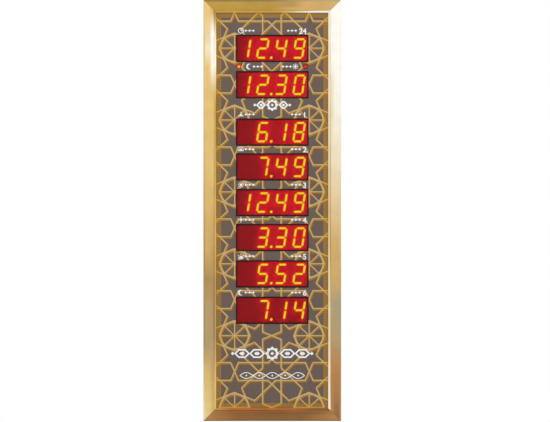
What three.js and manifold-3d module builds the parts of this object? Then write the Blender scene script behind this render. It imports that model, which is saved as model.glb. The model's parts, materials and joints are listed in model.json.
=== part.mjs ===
// A tall wall clock: eight red LED displays behind one printed panel, in a mitred aluminium frame.
// Millimetres. X to the right seen from the front, Y into the wall, Z up.
// The origin is the centre of the back plane, which lies against the wall.
import * as THREE from "three";
import { mergeVertices } from "three/addons/utils/BufferGeometryUtils.js";
import Module from "manifold-3d";

const wasm = await Module();
wasm.setup();

// Counts, angles and finenesses
const rowCount = 8;
const digitCount = 4;
const digitSlant = THREE.MathUtils.degToRad(9);
const boreSides = 6;
const fewSides = 8;
const sides = 12;
const fineSides = 16;
const arcSteps = 3;
const quarterTurn = Math.PI / 2;

// General clearances and cut overrun
const clearance = 0.3;
const overrun = 1;

// Seven-segment digits
const digitHeight = 45.7;
const digitWidth = 24.6;
const digitSpacing = 15.3;
const digitShift = 0.8;
const strokeWidth = 5;
const segmentGap = 0.5;
const segmentRelief = 0.8;
const dotDiameter = 6.2;
const dotPlaceShare = 0.405;

// Display module, red filter and display board
const moduleSideMargin = 1.3;
const moduleEndMargin = 3.75;
const moduleDepth = 11.1;
const filterLedge = 0.8;
const filterThickness = 2;
const filterBevel = 0.4;
const filterRecess = 0.5;
const boardThickness = 1.6;
const boardInset = 1.1;
const connectorLength = 22;
const connectorBreadth = 6;
const connectorHeight = 3;

// Window bezels
const bezelWall = 2.1;
const bezelStand = 0.8;
const bezelFlange = 2.4;
const bezelFlangeSide = 9;
const bezelFlangeEnd = 2;
const pillarDiameter = 6;
const pillarInset = 5.8;
const screwBore = 2.4;
const boardHole = 3;

// Indicator lamps between the first two windows
const lensSize = 9.4;
const lensLip = 1;
const lensLipThickness = 1.6;
const indicatorRoom = 2.4;
const indicatorSpacing = 146.6;
const ledDiameter = 5;
const ledRim = 0.4;
const ledRimThickness = 1;
const ledHeight = 8.6;
const ledLegWidth = 0.6;
const ledLegPitch = 2.54;
const ledBoardMargin = 4.5;

// Places of the windows on the panel
const windowSideMargin = 43.2;
const topMargin = 48.2;
const nameplateGap = 43.9;
const labelGap = 18.1;
const labelGapShares = [0.904, 0.995, 0.922, 1.092, 1.086];
const titleArea = 184.7;

// Frame rail section, from the outer edge inwards and from the back forwards
const railWall = 1.6;
const bevelWidth = 3.7;
const bevelRise = 3;
const faceWidth = 19.2;
const faceRise = 1;
const faceStep = 0.5;
const grooveWidth = 1.9;
const grooveDepth = 1.1;
const lipWidth = 3.5;
const lipDrop = 2.6;
const lipEdge = 2.2;
const panelHold = 6.7;
const ledgeSetback = 1.5;
const channelWidth = 12.4;
const mitreGap = 0.3;

// Panel, back cover and corner keys
const panelThickness = 3;
const coverThickness = 3;
const innerDepth = 24.9;
const keyThickness = 2.5;
const keyArm = 45;
const coverScrewHead = 7.4;
const coverScrewHole = 3.6;
const coverScrewSink = 1.7;
const coverScrewRows = 3;
const coverScrewSpanShare = 0.8;

// Keyholes that the clock hangs on
const hangerSpacing = 180;
const hangerDrop = 56;
const hangerEntry = 9.6;
const hangerSlot = 5;
const hangerTravel = 14;
const hangerPlateWidth = 40;
const hangerPlateBorder = 16;
const hangerPlateThickness = 1.2;
const hangerPlateCorner = 4;
const coverKeyholeBorder = 1.5;

// Controller board with its coin cell
const controllerWidth = 140;
const controllerHeight = 90;
const controllerPlaceShare = 0.44;
const bossDiameter = 8;
const bossHeight = 5;
const controllerHoleInset = 6;
const chipSize = 14;
const chipHeight = 2;
const ampSize = 9;
const sidePlaceShare = 0.25;
const ampPlaceShare = 0.25;
const capacitorPlaceShare = 0.17;
const capacitorDiameter = 10;
const capacitorHeight = 8;
const cellDiameter = 20;
const cellThickness = 3.2;
const cellStep = 1.2;
const cellRimShare = 0.75;
const cellHolderWall = 1.8;
const cellHolderFloor = 1;
const cellNotch = 8;

// Ribbon cable
const ribbonWidth = 20;
const ribbonThickness = 0.8;
const ribbonJog = 24;

// Speaker and its grille
const speakerLength = 70;
const speakerMargin = 0.6;
const speakerRoom = 1.5;
const speakerFrame = 1.5;
const speakerBasket = 8;
const coneInset = 2.5;
const coneDepth = 4;
const dustCapDiameter = 8;
const grilleCount = 9;
const grillePitch = 6;
const grilleSlot = 2.4;

// Push buttons, their switches and board
const buttonNames = ["menu_button", "up_button", "down_button", "sound_button"];
const buttonPitch = 15;
const buttonPlace = 72.5;
const buttonDiameter = 7;
const buttonStand = 1.2;
const buttonEdge = 0.4;
const buttonHoleGap = 0.3;
const buttonTravel = 1;
const buttonCollar = 1.2;
const buttonCollarThickness = 1;
const stemDiameter = 3;
const stemReach = 0.6;
const switchWidth = 6.5;
const switchDepth = 7;
const switchHeight = 4;
const switchWall = 0.8;
const buttonBoardMargin = 8;
const buttonBoardHeight = 12;

// Low-voltage inlet
const inletPlace = 90;
const inletWidth = 9;
const inletDepth = 11;
const inletLength = 14;
const inletMouth = 8;
const inletBore = 5.9;
const inletBoreDepth = 10;
const inletPin = 2.1;
const inletPinSetback = 1;

// Display module, filter and bezel sizes, from the digits outwards
const digitPitch = digitWidth + digitSpacing;
const slantRun = digitHeight * Math.tan(digitSlant);
const moduleWidth = (digitCount - 1) * digitPitch + digitWidth + slantRun + 2 * moduleSideMargin;
const moduleHeight = digitHeight + 2 * moduleEndMargin;
const pocketWidth = moduleWidth + 2 * clearance;
const boreHeight = moduleHeight + 2 * clearance;
const pocketHeight = boreHeight + 2 * filterLedge;
const rimWidth = pocketWidth + 2 * bezelWall;
const rimHeight = pocketHeight + 2 * bezelWall;
const windowWidth = rimWidth + 2 * clearance;
const windowHeight = rimHeight + 2 * clearance;
const flangeWidth = rimWidth + 2 * bezelFlangeSide;
const flangeHeight = rimHeight + 2 * bezelFlangeEnd;
const pillarX = (rimWidth + bezelFlangeSide) / 2;
const pillarZ = rimHeight / 2 - pillarInset;

// Panel opening and overall size, from the windows outwards
const indicatorGap = lensSize + 2 * (lensLip + bezelFlangeEnd + indicatorRoom - clearance);
const windowGaps = [indicatorGap, nameplateGap, ...labelGapShares.map((share) => share * labelGap)];
const openingWidth = windowWidth + 2 * windowSideMargin;
const windowRun = rowCount * windowHeight + windowGaps.reduce((sum, gap) => sum + gap, 0);
const openingHeight = topMargin + windowRun + titleArea;
const faceEnd = bevelWidth + faceWidth;
const lipStart = faceEnd + grooveWidth;
const railFace = lipStart + lipWidth;
const overallWidth = openingWidth + 2 * railFace;
const overallHeight = openingHeight + 2 * railFace;
const firstWindowZ = openingHeight / 2 - topMargin - windowHeight / 2;
const windowZ = windowGaps.reduce(
  (places, gap) => [...places, places[places.length - 1] - windowHeight - gap],
  [firstWindowZ],
);
const indicatorZ = firstWindowZ - (windowHeight + indicatorGap) / 2;
const titleZ = -openingHeight / 2 + titleArea * controllerPlaceShare;

// Depths measured forwards from the wall
const channelFloor = coverThickness + clearance;
const keyBack = channelFloor + railWall + clearance;
const ribBack = keyBack + keyThickness + clearance;
const ribFront = ribBack + railWall;
const panelBack = coverThickness + innerDepth;
const panelFront = panelBack + panelThickness;
const grooveTop = panelFront + clearance;
const ledgeFront = panelBack - clearance;
const crest = grooveTop + lipEdge + lipDrop;
const faceHigh = crest - faceStep;
const faceLow = faceHigh - faceRise;
const sideHeight = faceLow - bevelRise;
const rimFront = panelFront + bezelStand;
const filterFront = rimFront - filterRecess;
const filterBack = filterFront - filterThickness;
const ledgeTop = filterBack - clearance;
const moduleFront = ledgeTop - segmentRelief;
const moduleBack = moduleFront - moduleDepth;
const boardFront = moduleBack - clearance;
const boardBack = boardFront - boardThickness;
const controllerBack = coverThickness + bossHeight + clearance;
const controllerFront = controllerBack + boardThickness;

// Places across the rail, measured inwards from its outer edge
const grooveFloor = railFace - panelHold - clearance;
const grooveWallInside = grooveFloor - railWall;
const ledgeEnd = railFace - ledgeSetback;
const channelEnd = railWall + channelWidth;
const railInside = sideHeight - railWall / 2;
const switchFront = railWall + 2 * clearance + buttonCollarThickness + buttonTravel;

// Materials
function finish(color, roughness, metalness) {
  return new THREE.MeshStandardMaterial({ color, roughness, metalness });
}
const goldFinish = finish(0xd0ae70, 0.32, 0.9);
const panelFinish = finish(0x6b5f58, 0.4, 0);
const blackFinish = finish(0x171614, 0.45, 0);
const redFinish = finish(0x8e1a1c, 0.15, 0);
const displayFinish = finish(0x3a0d0d, 0.5, 0);
const boardFinish = finish(0x1d5a36, 0.5, 0);
const steelFinish = finish(0xb9bcc0, 0.35, 0.9);
const coverFinish = finish(0x2b2b2c, 0.7, 0);
const aluminiumFinish = finish(0xc9cbcd, 0.4, 0.8);
const ledFinish = finish(0xe8461e, 0.2, 0);
const ribbonFinish = finish(0x9a9da1, 0.6, 0);

// Solid and geometry conversions
function solidOf(geometry) {
  const plain = geometry.clone();
  plain.deleteAttribute("normal");
  plain.deleteAttribute("uv");
  const merged = mergeVertices(plain);
  const vertProperties = new Float32Array(merged.attributes.position.array);
  const triVerts = new Uint32Array(merged.index.array);
  return new wasm.Manifold(new wasm.Mesh({ numProp: 3, vertProperties, triVerts }));
}
function geometryOf(solid) {
  const mesh = solid.getMesh();
  const geometry = new THREE.BufferGeometry();
  geometry.setAttribute("position", new THREE.BufferAttribute(new Float32Array(mesh.vertProperties), 3));
  geometry.setIndex(new THREE.BufferAttribute(new Uint32Array(mesh.triVerts), 1));
  geometry.computeVertexNormals();
  return geometry;
}
function joined(...geometries) {
  return geometries.map(solidOf).reduce((whole, piece) => whole.add(piece));
}
function without(solid, ...geometries) {
  return geometries.map(solidOf).reduce((rest, cutter) => rest.subtract(cutter), solid);
}

// Flat outlines in X and Z
function rectangle(width, height, x = 0, z = 0) {
  const shape = new THREE.Shape();
  shape.moveTo(x - width / 2, z - height / 2);
  shape.lineTo(x + width / 2, z - height / 2);
  shape.lineTo(x + width / 2, z + height / 2);
  shape.lineTo(x - width / 2, z + height / 2);
  shape.closePath();
  return shape;
}
function roundedRectangle(width, height, radius) {
  const shape = new THREE.Shape();
  const x = width / 2 - radius;
  const z = height / 2 - radius;
  shape.absarc(x, z, radius, 0, quarterTurn);
  shape.absarc(-x, z, radius, quarterTurn, 2 * quarterTurn);
  shape.absarc(-x, -z, radius, 2 * quarterTurn, 3 * quarterTurn);
  shape.absarc(x, -z, radius, 3 * quarterTurn, 4 * quarterTurn);
  shape.closePath();
  return shape;
}
function stadium(length, breadth) {
  const shape = new THREE.Shape();
  const reach = (length - breadth) / 2;
  shape.absarc(reach, 0, breadth / 2, -quarterTurn, quarterTurn);
  shape.absarc(-reach, 0, breadth / 2, quarterTurn, 3 * quarterTurn);
  shape.closePath();
  return shape;
}
function keyhole(entry, slot, travel) {
  const shape = new THREE.Shape();
  const mouth = Math.asin(slot / entry);
  shape.absarc(0, 0, entry / 2, quarterTurn + mouth, 5 * quarterTurn - mouth);
  shape.absarc(0, travel, slot / 2, 0, 2 * quarterTurn);
  shape.closePath();
  return shape;
}

// A flat outline made solid between two depths from the wall
function plate(outline, back, front, x = 0, z = 0, curveSegments = arcSteps) {
  const options = { depth: front - back, bevelEnabled: false, curveSegments };
  return new THREE.ExtrudeGeometry(outline, options).rotateX(quarterTurn).translate(x, -back, z);
}
// A box between two depths from the wall
function slab(width, height, back, front, x = 0, z = 0) {
  return new THREE.BoxGeometry(width, front - back, height).translate(x, -(back + front) / 2, z);
}
// A round post between two depths from the wall
function post(diameter, back, front, x = 0, z = 0, count = sides) {
  const cylinder = new THREE.CylinderGeometry(diameter / 2, diameter / 2, front - back, count);
  return cylinder.translate(x, -(back + front) / 2, z);
}
// A turned solid about the depth axis, its profile given as radius and depth from the wall
function turned(profile) {
  const points = profile.map(([radius, depth]) => new THREE.Vector2(radius, depth));
  return new THREE.LatheGeometry(points, sides).rotateX(2 * quarterTurn);
}
// A round post that stands on the bottom rail, between two heights from the rail's outer edge
function upright(diameter, low, high, x, depth, count = sides) {
  const cylinder = new THREE.CylinderGeometry(diameter / 2, diameter / 2, high - low, count);
  return cylinder.rotateX(quarterTurn).translate(x, -depth, bottomEdge + (low + high) / 2);
}
// A box that stands on the bottom rail, between two heights from the rail's outer edge
function standing(width, low, high, back, front, x) {
  return slab(width, high - low, back, front, x, bottomEdge + (low + high) / 2);
}
const bottomEdge = -overallHeight / 2;

// Frame rails
function railSection() {
  const shape = new THREE.Shape();
  const faceSlope = faceRise / faceWidth;
  const wallTop = faceLow + faceSlope * (grooveWallInside - bevelWidth) - railWall;
  shape.moveTo(0, 0);
  shape.lineTo(railWall, 0);
  shape.lineTo(railWall, channelFloor);
  shape.lineTo(channelEnd, channelFloor);
  shape.lineTo(channelEnd, channelFloor + railWall);
  shape.lineTo(railWall, channelFloor + railWall);
  shape.lineTo(railWall, ribBack);
  shape.lineTo(channelEnd, ribBack);
  shape.lineTo(channelEnd, ribFront);
  shape.lineTo(railWall, ribFront);
  shape.lineTo(railWall, railInside);
  shape.lineTo(bevelWidth, faceLow - railWall);
  shape.lineTo(grooveWallInside, wallTop);
  shape.lineTo(grooveWallInside, ledgeFront - railWall);
  shape.lineTo(ledgeEnd, ledgeFront - railWall);
  shape.lineTo(ledgeEnd, ledgeFront);
  shape.lineTo(grooveFloor, ledgeFront);
  shape.lineTo(grooveFloor, grooveTop);
  shape.lineTo(railFace, grooveTop);
  shape.lineTo(railFace, grooveTop + lipEdge);
  shape.lineTo(lipStart, crest);
  shape.lineTo(lipStart - grooveWidth / 3, faceHigh - grooveDepth);
  shape.lineTo(faceEnd + grooveWidth / 3, faceHigh - grooveDepth);
  shape.lineTo(faceEnd, faceHigh);
  shape.lineTo(bevelWidth, faceLow);
  shape.lineTo(0, sideHeight);
  shape.closePath();
  return shape;
}
// A rail along the bottom of a frame of this length and height, its ends cut to the mitre
function railGeometry(length, height) {
  const geometry = new THREE.ExtrudeGeometry(railSection(), { depth: 1, bevelEnabled: false });
  const position = geometry.attributes.position;
  const endGap = mitreGap / Math.SQRT2;
  for (let i = 0; i < position.count; i++) {
    const across = position.getX(i);
    const depth = position.getY(i);
    const side = position.getZ(i) > 0 ? 1 : -1;
    position.setXYZ(i, side * (length / 2 - across - endGap), -depth, across - height / 2);
  }
  return geometry;
}
function bottomRailGeometry() {
  const top = railWall + overrun;
  const mouth = upright(inletMouth + 2 * clearance, -overrun, top, inletPlace, inletDepthPlace);
  const buttonHoles = buttonX.map((x) =>
    upright(buttonDiameter + 2 * buttonHoleGap, -overrun, top, x, buttonDepthPlace, fineSides),
  );
  const rail = solidOf(railGeometry(overallWidth, overallHeight));
  return geometryOf(without(rail, mouth, ...buttonHoles, ...grilleCutters()));
}

// Corner key: a flat angle that slides into the channels of two rails
function cornerKeyGeometry() {
  const shape = new THREE.Shape();
  const start = railWall + clearance;
  const width = channelWidth - 2 * clearance;
  const end = start + keyArm;
  shape.moveTo(start, start);
  shape.lineTo(end, start);
  shape.lineTo(end, start + width);
  shape.lineTo(start + width, start + width);
  shape.lineTo(start + width, end);
  shape.lineTo(start, end);
  shape.closePath();
  return plate(shape, keyBack, keyBack + keyThickness);
}

// Front panel with its window and indicator openings
function panelGeometry() {
  const edge = 2 * panelHold;
  const blank = slab(openingWidth + edge, openingHeight + edge, panelBack, panelFront);
  const lensHole = lensSize + 2 * clearance;
  const cut = (width, height, x, z) => slab(width, height, panelBack - overrun, panelFront + overrun, x, z);
  const windows = windowZ.map((z) => cut(windowWidth, windowHeight, 0, z));
  const lenses = [-1, 1].map((side) => cut(lensHole, lensHole, (side * indicatorSpacing) / 2, indicatorZ));
  return geometryOf(without(solidOf(blank), ...windows, ...lenses));
}

// Back cover with keyholes, screw holes and the controller board's bosses
function coverGeometry() {
  const edge = 2 * (railWall + clearance);
  const shape = rectangle(overallWidth - edge, overallHeight - edge);
  const corners = boardCorners();
  const boreTop = bossTop + overrun;
  const posts = corners.map(([x, z]) => post(bossDiameter, coverThickness - overrun, bossTop, x, z));
  const bores = corners.map(([x, z]) => post(screwBore, coverThickness, boreTop, x, z, fewSides));
  const border = 2 * coverKeyholeBorder;
  const hole = keyhole(hangerEntry + border, hangerSlot + border, hangerTravel);
  const keyholes = [-1, 1].map((side) =>
    plate(hole, -overrun, coverThickness + overrun, (side * hangerSpacing) / 2, hangerZ, 2 * arcSteps),
  );
  const screws = coverScrewPlaces().flatMap(([x, z]) => [
    post(coverScrewHead, -overrun, coverScrewSink, x, z),
    post(coverScrewHole, -overrun, coverThickness + overrun, x, z, fewSides),
  ]);
  const whole = joined(plate(shape, 0, coverThickness), ...posts);
  return geometryOf(without(whole, ...bores, ...keyholes, ...screws));
}
function coverScrewPlaces() {
  const inset = railWall + channelWidth / 2;
  const x = overallWidth / 2 - inset;
  const z = overallHeight / 2 - inset;
  const places = [[0, z], [0, -z]];
  for (let i = 0; i < coverScrewRows; i++) {
    const along = z * coverScrewSpanShare * ((2 * i) / (coverScrewRows - 1) - 1);
    places.push([-x, along], [x, along]);
  }
  return places;
}

// Keyhole plate behind the back cover
function hangerPlateGeometry() {
  const height = hangerTravel + 2 * hangerPlateBorder;
  const blank = plate(roundedRectangle(hangerPlateWidth, height, hangerPlateCorner), plateBack, plateFront);
  const hole = keyhole(hangerEntry, hangerSlot, hangerTravel);
  const cutter = plate(hole, plateBack - overrun, plateFront + overrun, 0, -hangerTravel / 2, 2 * arcSteps);
  return geometryOf(without(solidOf(blank), cutter));
}
const plateBack = coverThickness + clearance;
const plateFront = plateBack + hangerPlateThickness;
const hangerZ = overallHeight / 2 - hangerDrop;

// Window bezel: a rim through the panel, a flange behind it and four screw pillars
function bezelGeometry() {
  const flangeFront = panelBack - clearance;
  const flangeBack = flangeFront - bezelFlange;
  const start = moduleBack - overrun;
  const tube = slab(rimWidth, rimHeight, moduleBack, rimFront);
  const flange = slab(flangeWidth, flangeHeight, flangeBack, flangeFront);
  const corners = pillarPlaces();
  const pillars = corners.map(([x, z]) =>
    post(pillarDiameter, moduleBack, flangeFront - overrun, x, z, fewSides),
  );
  const bores = corners.map(([x, z]) => post(screwBore, start, flangeBack, x, z, boreSides));
  const bore = slab(pocketWidth, boreHeight, start, rimFront + overrun);
  const pocket = slab(pocketWidth, pocketHeight, ledgeTop, rimFront + overrun);
  return geometryOf(without(joined(tube, flange, ...pillars), bore, pocket, ...bores));
}
function pillarPlaces() {
  return [[-pillarX, -pillarZ], [pillarX, -pillarZ], [pillarX, pillarZ], [-pillarX, pillarZ]];
}

// Red filter with a bevelled front edge
function filterGeometry() {
  const inset = 2 * (clearance + filterBevel);
  const outline = rectangle(pocketWidth - inset, pocketHeight - inset);
  const options = {
    depth: filterThickness - filterBevel,
    bevelEnabled: true,
    bevelThickness: filterBevel,
    bevelSize: filterBevel,
    bevelSegments: 1,
  };
  const geometry = new THREE.ExtrudeGeometry(outline, options).rotateX(quarterTurn);
  const cutter = slab(windowWidth, windowHeight, filterBack - overrun, filterBack);
  return geometryOf(without(solidOf(geometry.translate(0, -filterBack, 0)), cutter));
}

// Display module: a block with seven raised bars for each digit and a round point
function barPoints(x, z, length, across) {
  const half = strokeWidth / 2;
  const end = length / 2;
  const shoulder = end - half;
  const lower = [[-end, 0], [-shoulder, -half], [shoulder, -half]];
  const upper = lower.map(([along, aside]) => [-along, -aside]);
  const points = [...lower, ...upper];
  return points.map(([along, aside]) => (across ? [x + along, z + aside] : [x - aside, z + along]));
}
function digitBars() {
  const width = digitWidth - strokeWidth;
  const height = (digitHeight - strokeWidth) / 2;
  const acrossLength = width - 2 * segmentGap;
  const alongLength = height - 2 * segmentGap;
  const across = [-height, 0, height].map((z) => barPoints(0, z, acrossLength, true));
  const along = [-1, 1].flatMap((side) =>
    [-1, 1].map((level) => barPoints((side * width) / 2, (level * height) / 2, alongLength, false)),
  );
  return [...across, ...along];
}
function slanted([x, z]) {
  return new THREE.Vector2(x + z * Math.tan(digitSlant), z);
}
function moduleGeometry() {
  const reliefBack = moduleFront - segmentRelief;
  const pieces = [slab(moduleWidth, moduleHeight, moduleBack, moduleFront)];
  for (let i = 0; i < digitCount; i++) {
    const x = (i - (digitCount - 1) / 2) * digitPitch - digitShift;
    digitBars().forEach((points) => {
      pieces.push(plate(new THREE.Shape(points.map(slanted)), reliefBack, ledgeTop, x));
    });
    if (i < digitCount - 1) {
      const place = slanted([digitWidth / 2 + digitSpacing * dotPlaceShare, (strokeWidth - digitHeight) / 2]);
      pieces.push(post(dotDiameter, reliefBack, ledgeTop, x + place.x, place.y, fewSides));
    }
  }
  return geometryOf(joined(...pieces));
}

// Display board on the bezel's pillars, with its connector; the first board also carries the indicators
function boardGeometry(drop) {
  const height = windowHeight - 2 * boardInset;
  const board = slab(flangeWidth, height + drop, boardBack, boardFront, 0, -drop / 2);
  const foot = (boardBack + boardFront) / 2;
  const connector = slab(connectorLength, connectorBreadth, boardBack - connectorHeight, foot);
  const holes = pillarPlaces().map(([x, z]) =>
    post(boardHole, boardBack - overrun, boardFront + overrun, x, z, fewSides),
  );
  return geometryOf(without(joined(board, connector), ...holes));
}
const indicatorDrop = indicatorGap / 2 + ledBoardMargin + boardInset;

// Indicator lens: a square button through the panel with a lip behind it and a blind bore for its lamp
function lensGeometry() {
  const lipFront = panelBack - clearance;
  const lipSize = lensSize + 2 * lensLip;
  const boreFront = (panelBack + panelFront) / 2;
  const whole = joined(
    slab(lensSize, lensSize, lipFront - overrun, panelFront + bezelStand / 2),
    slab(lipSize, lipSize, lipFront - lensLipThickness, lipFront),
  );
  const bore = post(ledDiameter + 2 * clearance, lipFront - lensLipThickness - overrun, boreFront);
  return geometryOf(without(whole, bore));
}
// Indicator lamp: a domed round lamp with a rim and two legs down to the board
function ledGeometry() {
  const top = (panelBack + panelFront) / 2 - clearance;
  const base = top - ledHeight;
  const radius = ledDiameter / 2;
  const lamp = turned([
    [0, base],
    [radius + ledRim, base],
    [radius + ledRim, base + ledRimThickness],
    [radius, base + ledRimThickness],
    [radius, top - radius],
    [radius * Math.SQRT1_2, top - radius + radius * Math.SQRT1_2],
    [0, top],
  ]);
  const foot = boardFront + clearance;
  const legTop = base + ledRimThickness / 2;
  const legs = [-1, 1].map((side) =>
    slab(ledLegWidth, ledLegWidth, foot, legTop, (side * ledLegPitch) / 2),
  );
  return geometryOf(joined(lamp, ...legs));
}

// Controller board, its parts and the bosses' places
function boardCorners() {
  const x = controllerWidth / 2 - controllerHoleInset;
  const z = controllerHeight / 2 - controllerHoleInset;
  return [[-x, titleZ - z], [x, titleZ - z], [x, titleZ + z], [-x, titleZ + z]];
}
const bossTop = coverThickness + bossHeight;
function controllerGeometry() {
  const foot = controllerFront - boardThickness / 2;
  const chipTop = controllerFront + chipHeight;
  const capacitorTop = controllerFront + capacitorHeight;
  const sideX = -controllerWidth * sidePlaceShare;
  const parts = [
    slab(controllerWidth, controllerHeight, controllerBack, controllerFront, 0, titleZ),
    slab(connectorLength, connectorBreadth, foot, controllerFront + connectorHeight, 0, ribbonEndZ),
    slab(chipSize, chipSize, foot, chipTop, 0, titleZ),
    slab(ampSize, ampSize, foot, chipTop, sideX, titleZ - controllerHeight * ampPlaceShare),
    post(capacitorDiameter, foot, capacitorTop, sideX, titleZ + controllerHeight * capacitorPlaceShare),
  ];
  const holes = boardCorners().map(([x, z]) =>
    post(boardHole, controllerBack - overrun, controllerFront + overrun, x, z, fewSides),
  );
  return geometryOf(without(joined(...parts), ...holes));
}
const ribbonEndZ = titleZ + controllerHeight / 2 - controllerHoleInset - connectorBreadth / 2;

// Coin cell and its open holder on the controller board
function cellHolderGeometry() {
  const outer = cellDiameter + 2 * (cellHolderWall + clearance);
  const back = controllerFront + clearance;
  const front = back + cellHolderFloor + cellThickness;
  const pocket = post(cellDiameter + 2 * clearance, back + cellHolderFloor, front + overrun, 0, 0, fineSides);
  const notch = slab(cellNotch, outer, back + cellHolderFloor, front + overrun, 0, outer / 2);
  return geometryOf(without(solidOf(post(outer, back, front, 0, 0, fineSides)), pocket, notch));
}
function cellGeometry() {
  const back = controllerFront + 2 * clearance + cellHolderFloor;
  const middle = back + cellThickness * cellRimShare;
  const radius = cellDiameter / 2;
  const front = back + cellThickness;
  return turned([
    [0, back],
    [radius - cellStep, back],
    [radius, back + cellStep / 2],
    [radius, middle],
    [radius - cellStep, middle],
    [radius - cellStep, front],
    [0, front],
  ]);
}

// Ribbon cable behind the display boards, with a jog down to the controller board
function ribbonGeometry() {
  const upperFront = boardBack - connectorHeight - clearance;
  const lowerBack = controllerFront + connectorHeight + clearance;
  const top = windowZ[0] + connectorBreadth / 2;
  const low = ribbonEndZ - connectorBreadth / 2;
  const jogEnd = ribbonEndZ + connectorBreadth;
  const run = [
    [top, upperFront - ribbonThickness],
    [jogEnd + ribbonJog, upperFront - ribbonThickness],
    [jogEnd, lowerBack],
    [low, lowerBack],
  ];
  const back = run.map(([z, depth]) => new THREE.Vector2(z, depth));
  const front = run.map(([z, depth]) => new THREE.Vector2(z, depth + ribbonThickness)).reverse();
  const shape = new THREE.Shape([...back, ...front]);
  const geometry = new THREE.ExtrudeGeometry(shape, { depth: ribbonWidth, bevelEnabled: false });
  const upwards = new THREE.Vector3(0, 0, 1);
  const forwards = new THREE.Vector3(0, -1, 0);
  const sideways = new THREE.Vector3(1, 0, 0);
  return geometry.applyMatrix4(new THREE.Matrix4().makeBasis(upwards, forwards, sideways));
}

// Speaker facing down through the grille of the bottom rail
const speakerBreadth = railInside - ribFront - 2 * speakerMargin;
const speakerDepthPlace = (railInside + ribFront) / 2;
function speakerGeometry() {
  const face = railWall + clearance;
  const back = grooveWallInside - clearance - speakerRoom;
  const level = (inset, low, high) => {
    const outline = stadium(speakerLength - inset, speakerBreadth - inset);
    const options = { depth: high - low, bevelEnabled: false, curveSegments: 2 * arcSteps };
    return new THREE.ExtrudeGeometry(outline, options).translate(0, -speakerDepthPlace, bottomEdge + low);
  };
  const magnetSize = speakerBreadth - 2 * coneInset;
  const coneBack = face + coneDepth;
  const whole = joined(
    level(0, face, face + speakerFrame),
    level(coneInset, face, face + speakerBasket),
    upright(magnetSize, speakerBasket, back, 0, speakerDepthPlace, fineSides),
  );
  const cone = level(2 * coneInset, face - overrun, coneBack);
  const cap = upright(dustCapDiameter, face + coneDepth / 2, coneBack + overrun, 0, speakerDepthPlace);
  return geometryOf(without(whole, cone).add(solidOf(cap)));
}
function grilleCutters() {
  const length = speakerBreadth - 2 * coneInset;
  const outline = stadium(length, grilleSlot);
  const options = { depth: railWall + 2 * overrun, bevelEnabled: false, curveSegments: arcSteps };
  const cutter = new THREE.ExtrudeGeometry(outline, options).rotateZ(quarterTurn);
  return Array.from({ length: grilleCount }, (_, i) => {
    const x = (i - (grilleCount - 1) / 2) * grillePitch;
    return cutter.clone().translate(x, -speakerDepthPlace, bottomEdge - overrun);
  });
}

// Push buttons and their board
const buttonBoardBack = ribFront + clearance;
const buttonBoardFront = buttonBoardBack + boardThickness;
const buttonDepthPlace = buttonBoardFront + switchDepth / 2;
const buttonX = buttonNames.map((_, i) => (i - (buttonNames.length - 1) / 2) * buttonPitch - buttonPlace);
function buttonGeometry() {
  const collarLow = railWall + clearance;
  const collarHigh = collarLow + buttonCollarThickness;
  const radius = buttonDiameter / 2;
  const profile = [
    [0, -buttonStand],
    [radius - buttonEdge, -buttonStand],
    [radius, buttonEdge - buttonStand],
    [radius, collarLow],
    [radius + buttonCollar, collarLow],
    [radius + buttonCollar, collarHigh],
    [stemDiameter / 2, collarHigh],
    [stemDiameter / 2, switchFront + stemReach],
    [0, switchFront + stemReach],
  ];
  const points = profile.map(([r, height]) => new THREE.Vector2(r, height));
  const geometry = new THREE.LatheGeometry(points, fineSides).rotateX(quarterTurn);
  return geometry.translate(0, -buttonDepthPlace, bottomEdge);
}
function buttonBoardGeometry() {
  const length = (buttonNames.length - 1) * buttonPitch + 2 * buttonBoardMargin;
  const low = switchFront;
  const high = low + buttonBoardHeight;
  const board = standing(length, low, high, buttonBoardBack, buttonBoardFront, -buttonPlace);
  const switchBack = buttonBoardFront - boardThickness / 2;
  const switches = buttonX.map((x) =>
    standing(switchWidth, low, low + switchHeight, switchBack, buttonBoardFront + switchDepth, x),
  );
  const boreTop = low + switchHeight - switchWall;
  const bores = buttonX.map((x) =>
    upright(stemDiameter + 2 * clearance, low - overrun, boreTop, x, buttonDepthPlace),
  );
  return geometryOf(without(joined(board, ...switches), ...bores));
}

// Low-voltage inlet with its centre pin
const inletDepthPlace = ribFront + clearance + inletDepth / 2;
function inletGeometry() {
  const low = railWall + clearance;
  const back = ribFront + clearance;
  const body = standing(inletWidth, low, low + inletLength, back, back + inletDepth, inletPlace);
  const collar = upright(inletMouth, 0, low + overrun, inletPlace, inletDepthPlace);
  const bore = upright(inletBore, -overrun, inletBoreDepth, inletPlace, inletDepthPlace);
  const pinTop = inletBoreDepth + overrun;
  const pin = upright(inletPin, inletPinSetback, pinTop, inletPlace, inletDepthPlace, fewSides);
  return geometryOf(without(joined(body, collar), bore).add(solidOf(pin)));
}

// Assembly
const clock = new THREE.Group();
function place(name, geometry, material, x = 0, y = 0, z = 0) {
  const mesh = new THREE.Mesh(geometry, material);
  mesh.name = name;
  mesh.position.set(x, y, z);
  clock.add(mesh);
  return mesh;
}

place("rail_bottom", bottomRailGeometry(), goldFinish);
place("rail_top", railGeometry(overallWidth, overallHeight), goldFinish).rotation.y = 2 * quarterTurn;
place("rail_left", railGeometry(overallHeight, overallWidth), goldFinish).rotation.y = quarterTurn;
place("rail_right", railGeometry(overallHeight, overallWidth), goldFinish).rotation.y = -quarterTurn;

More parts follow.
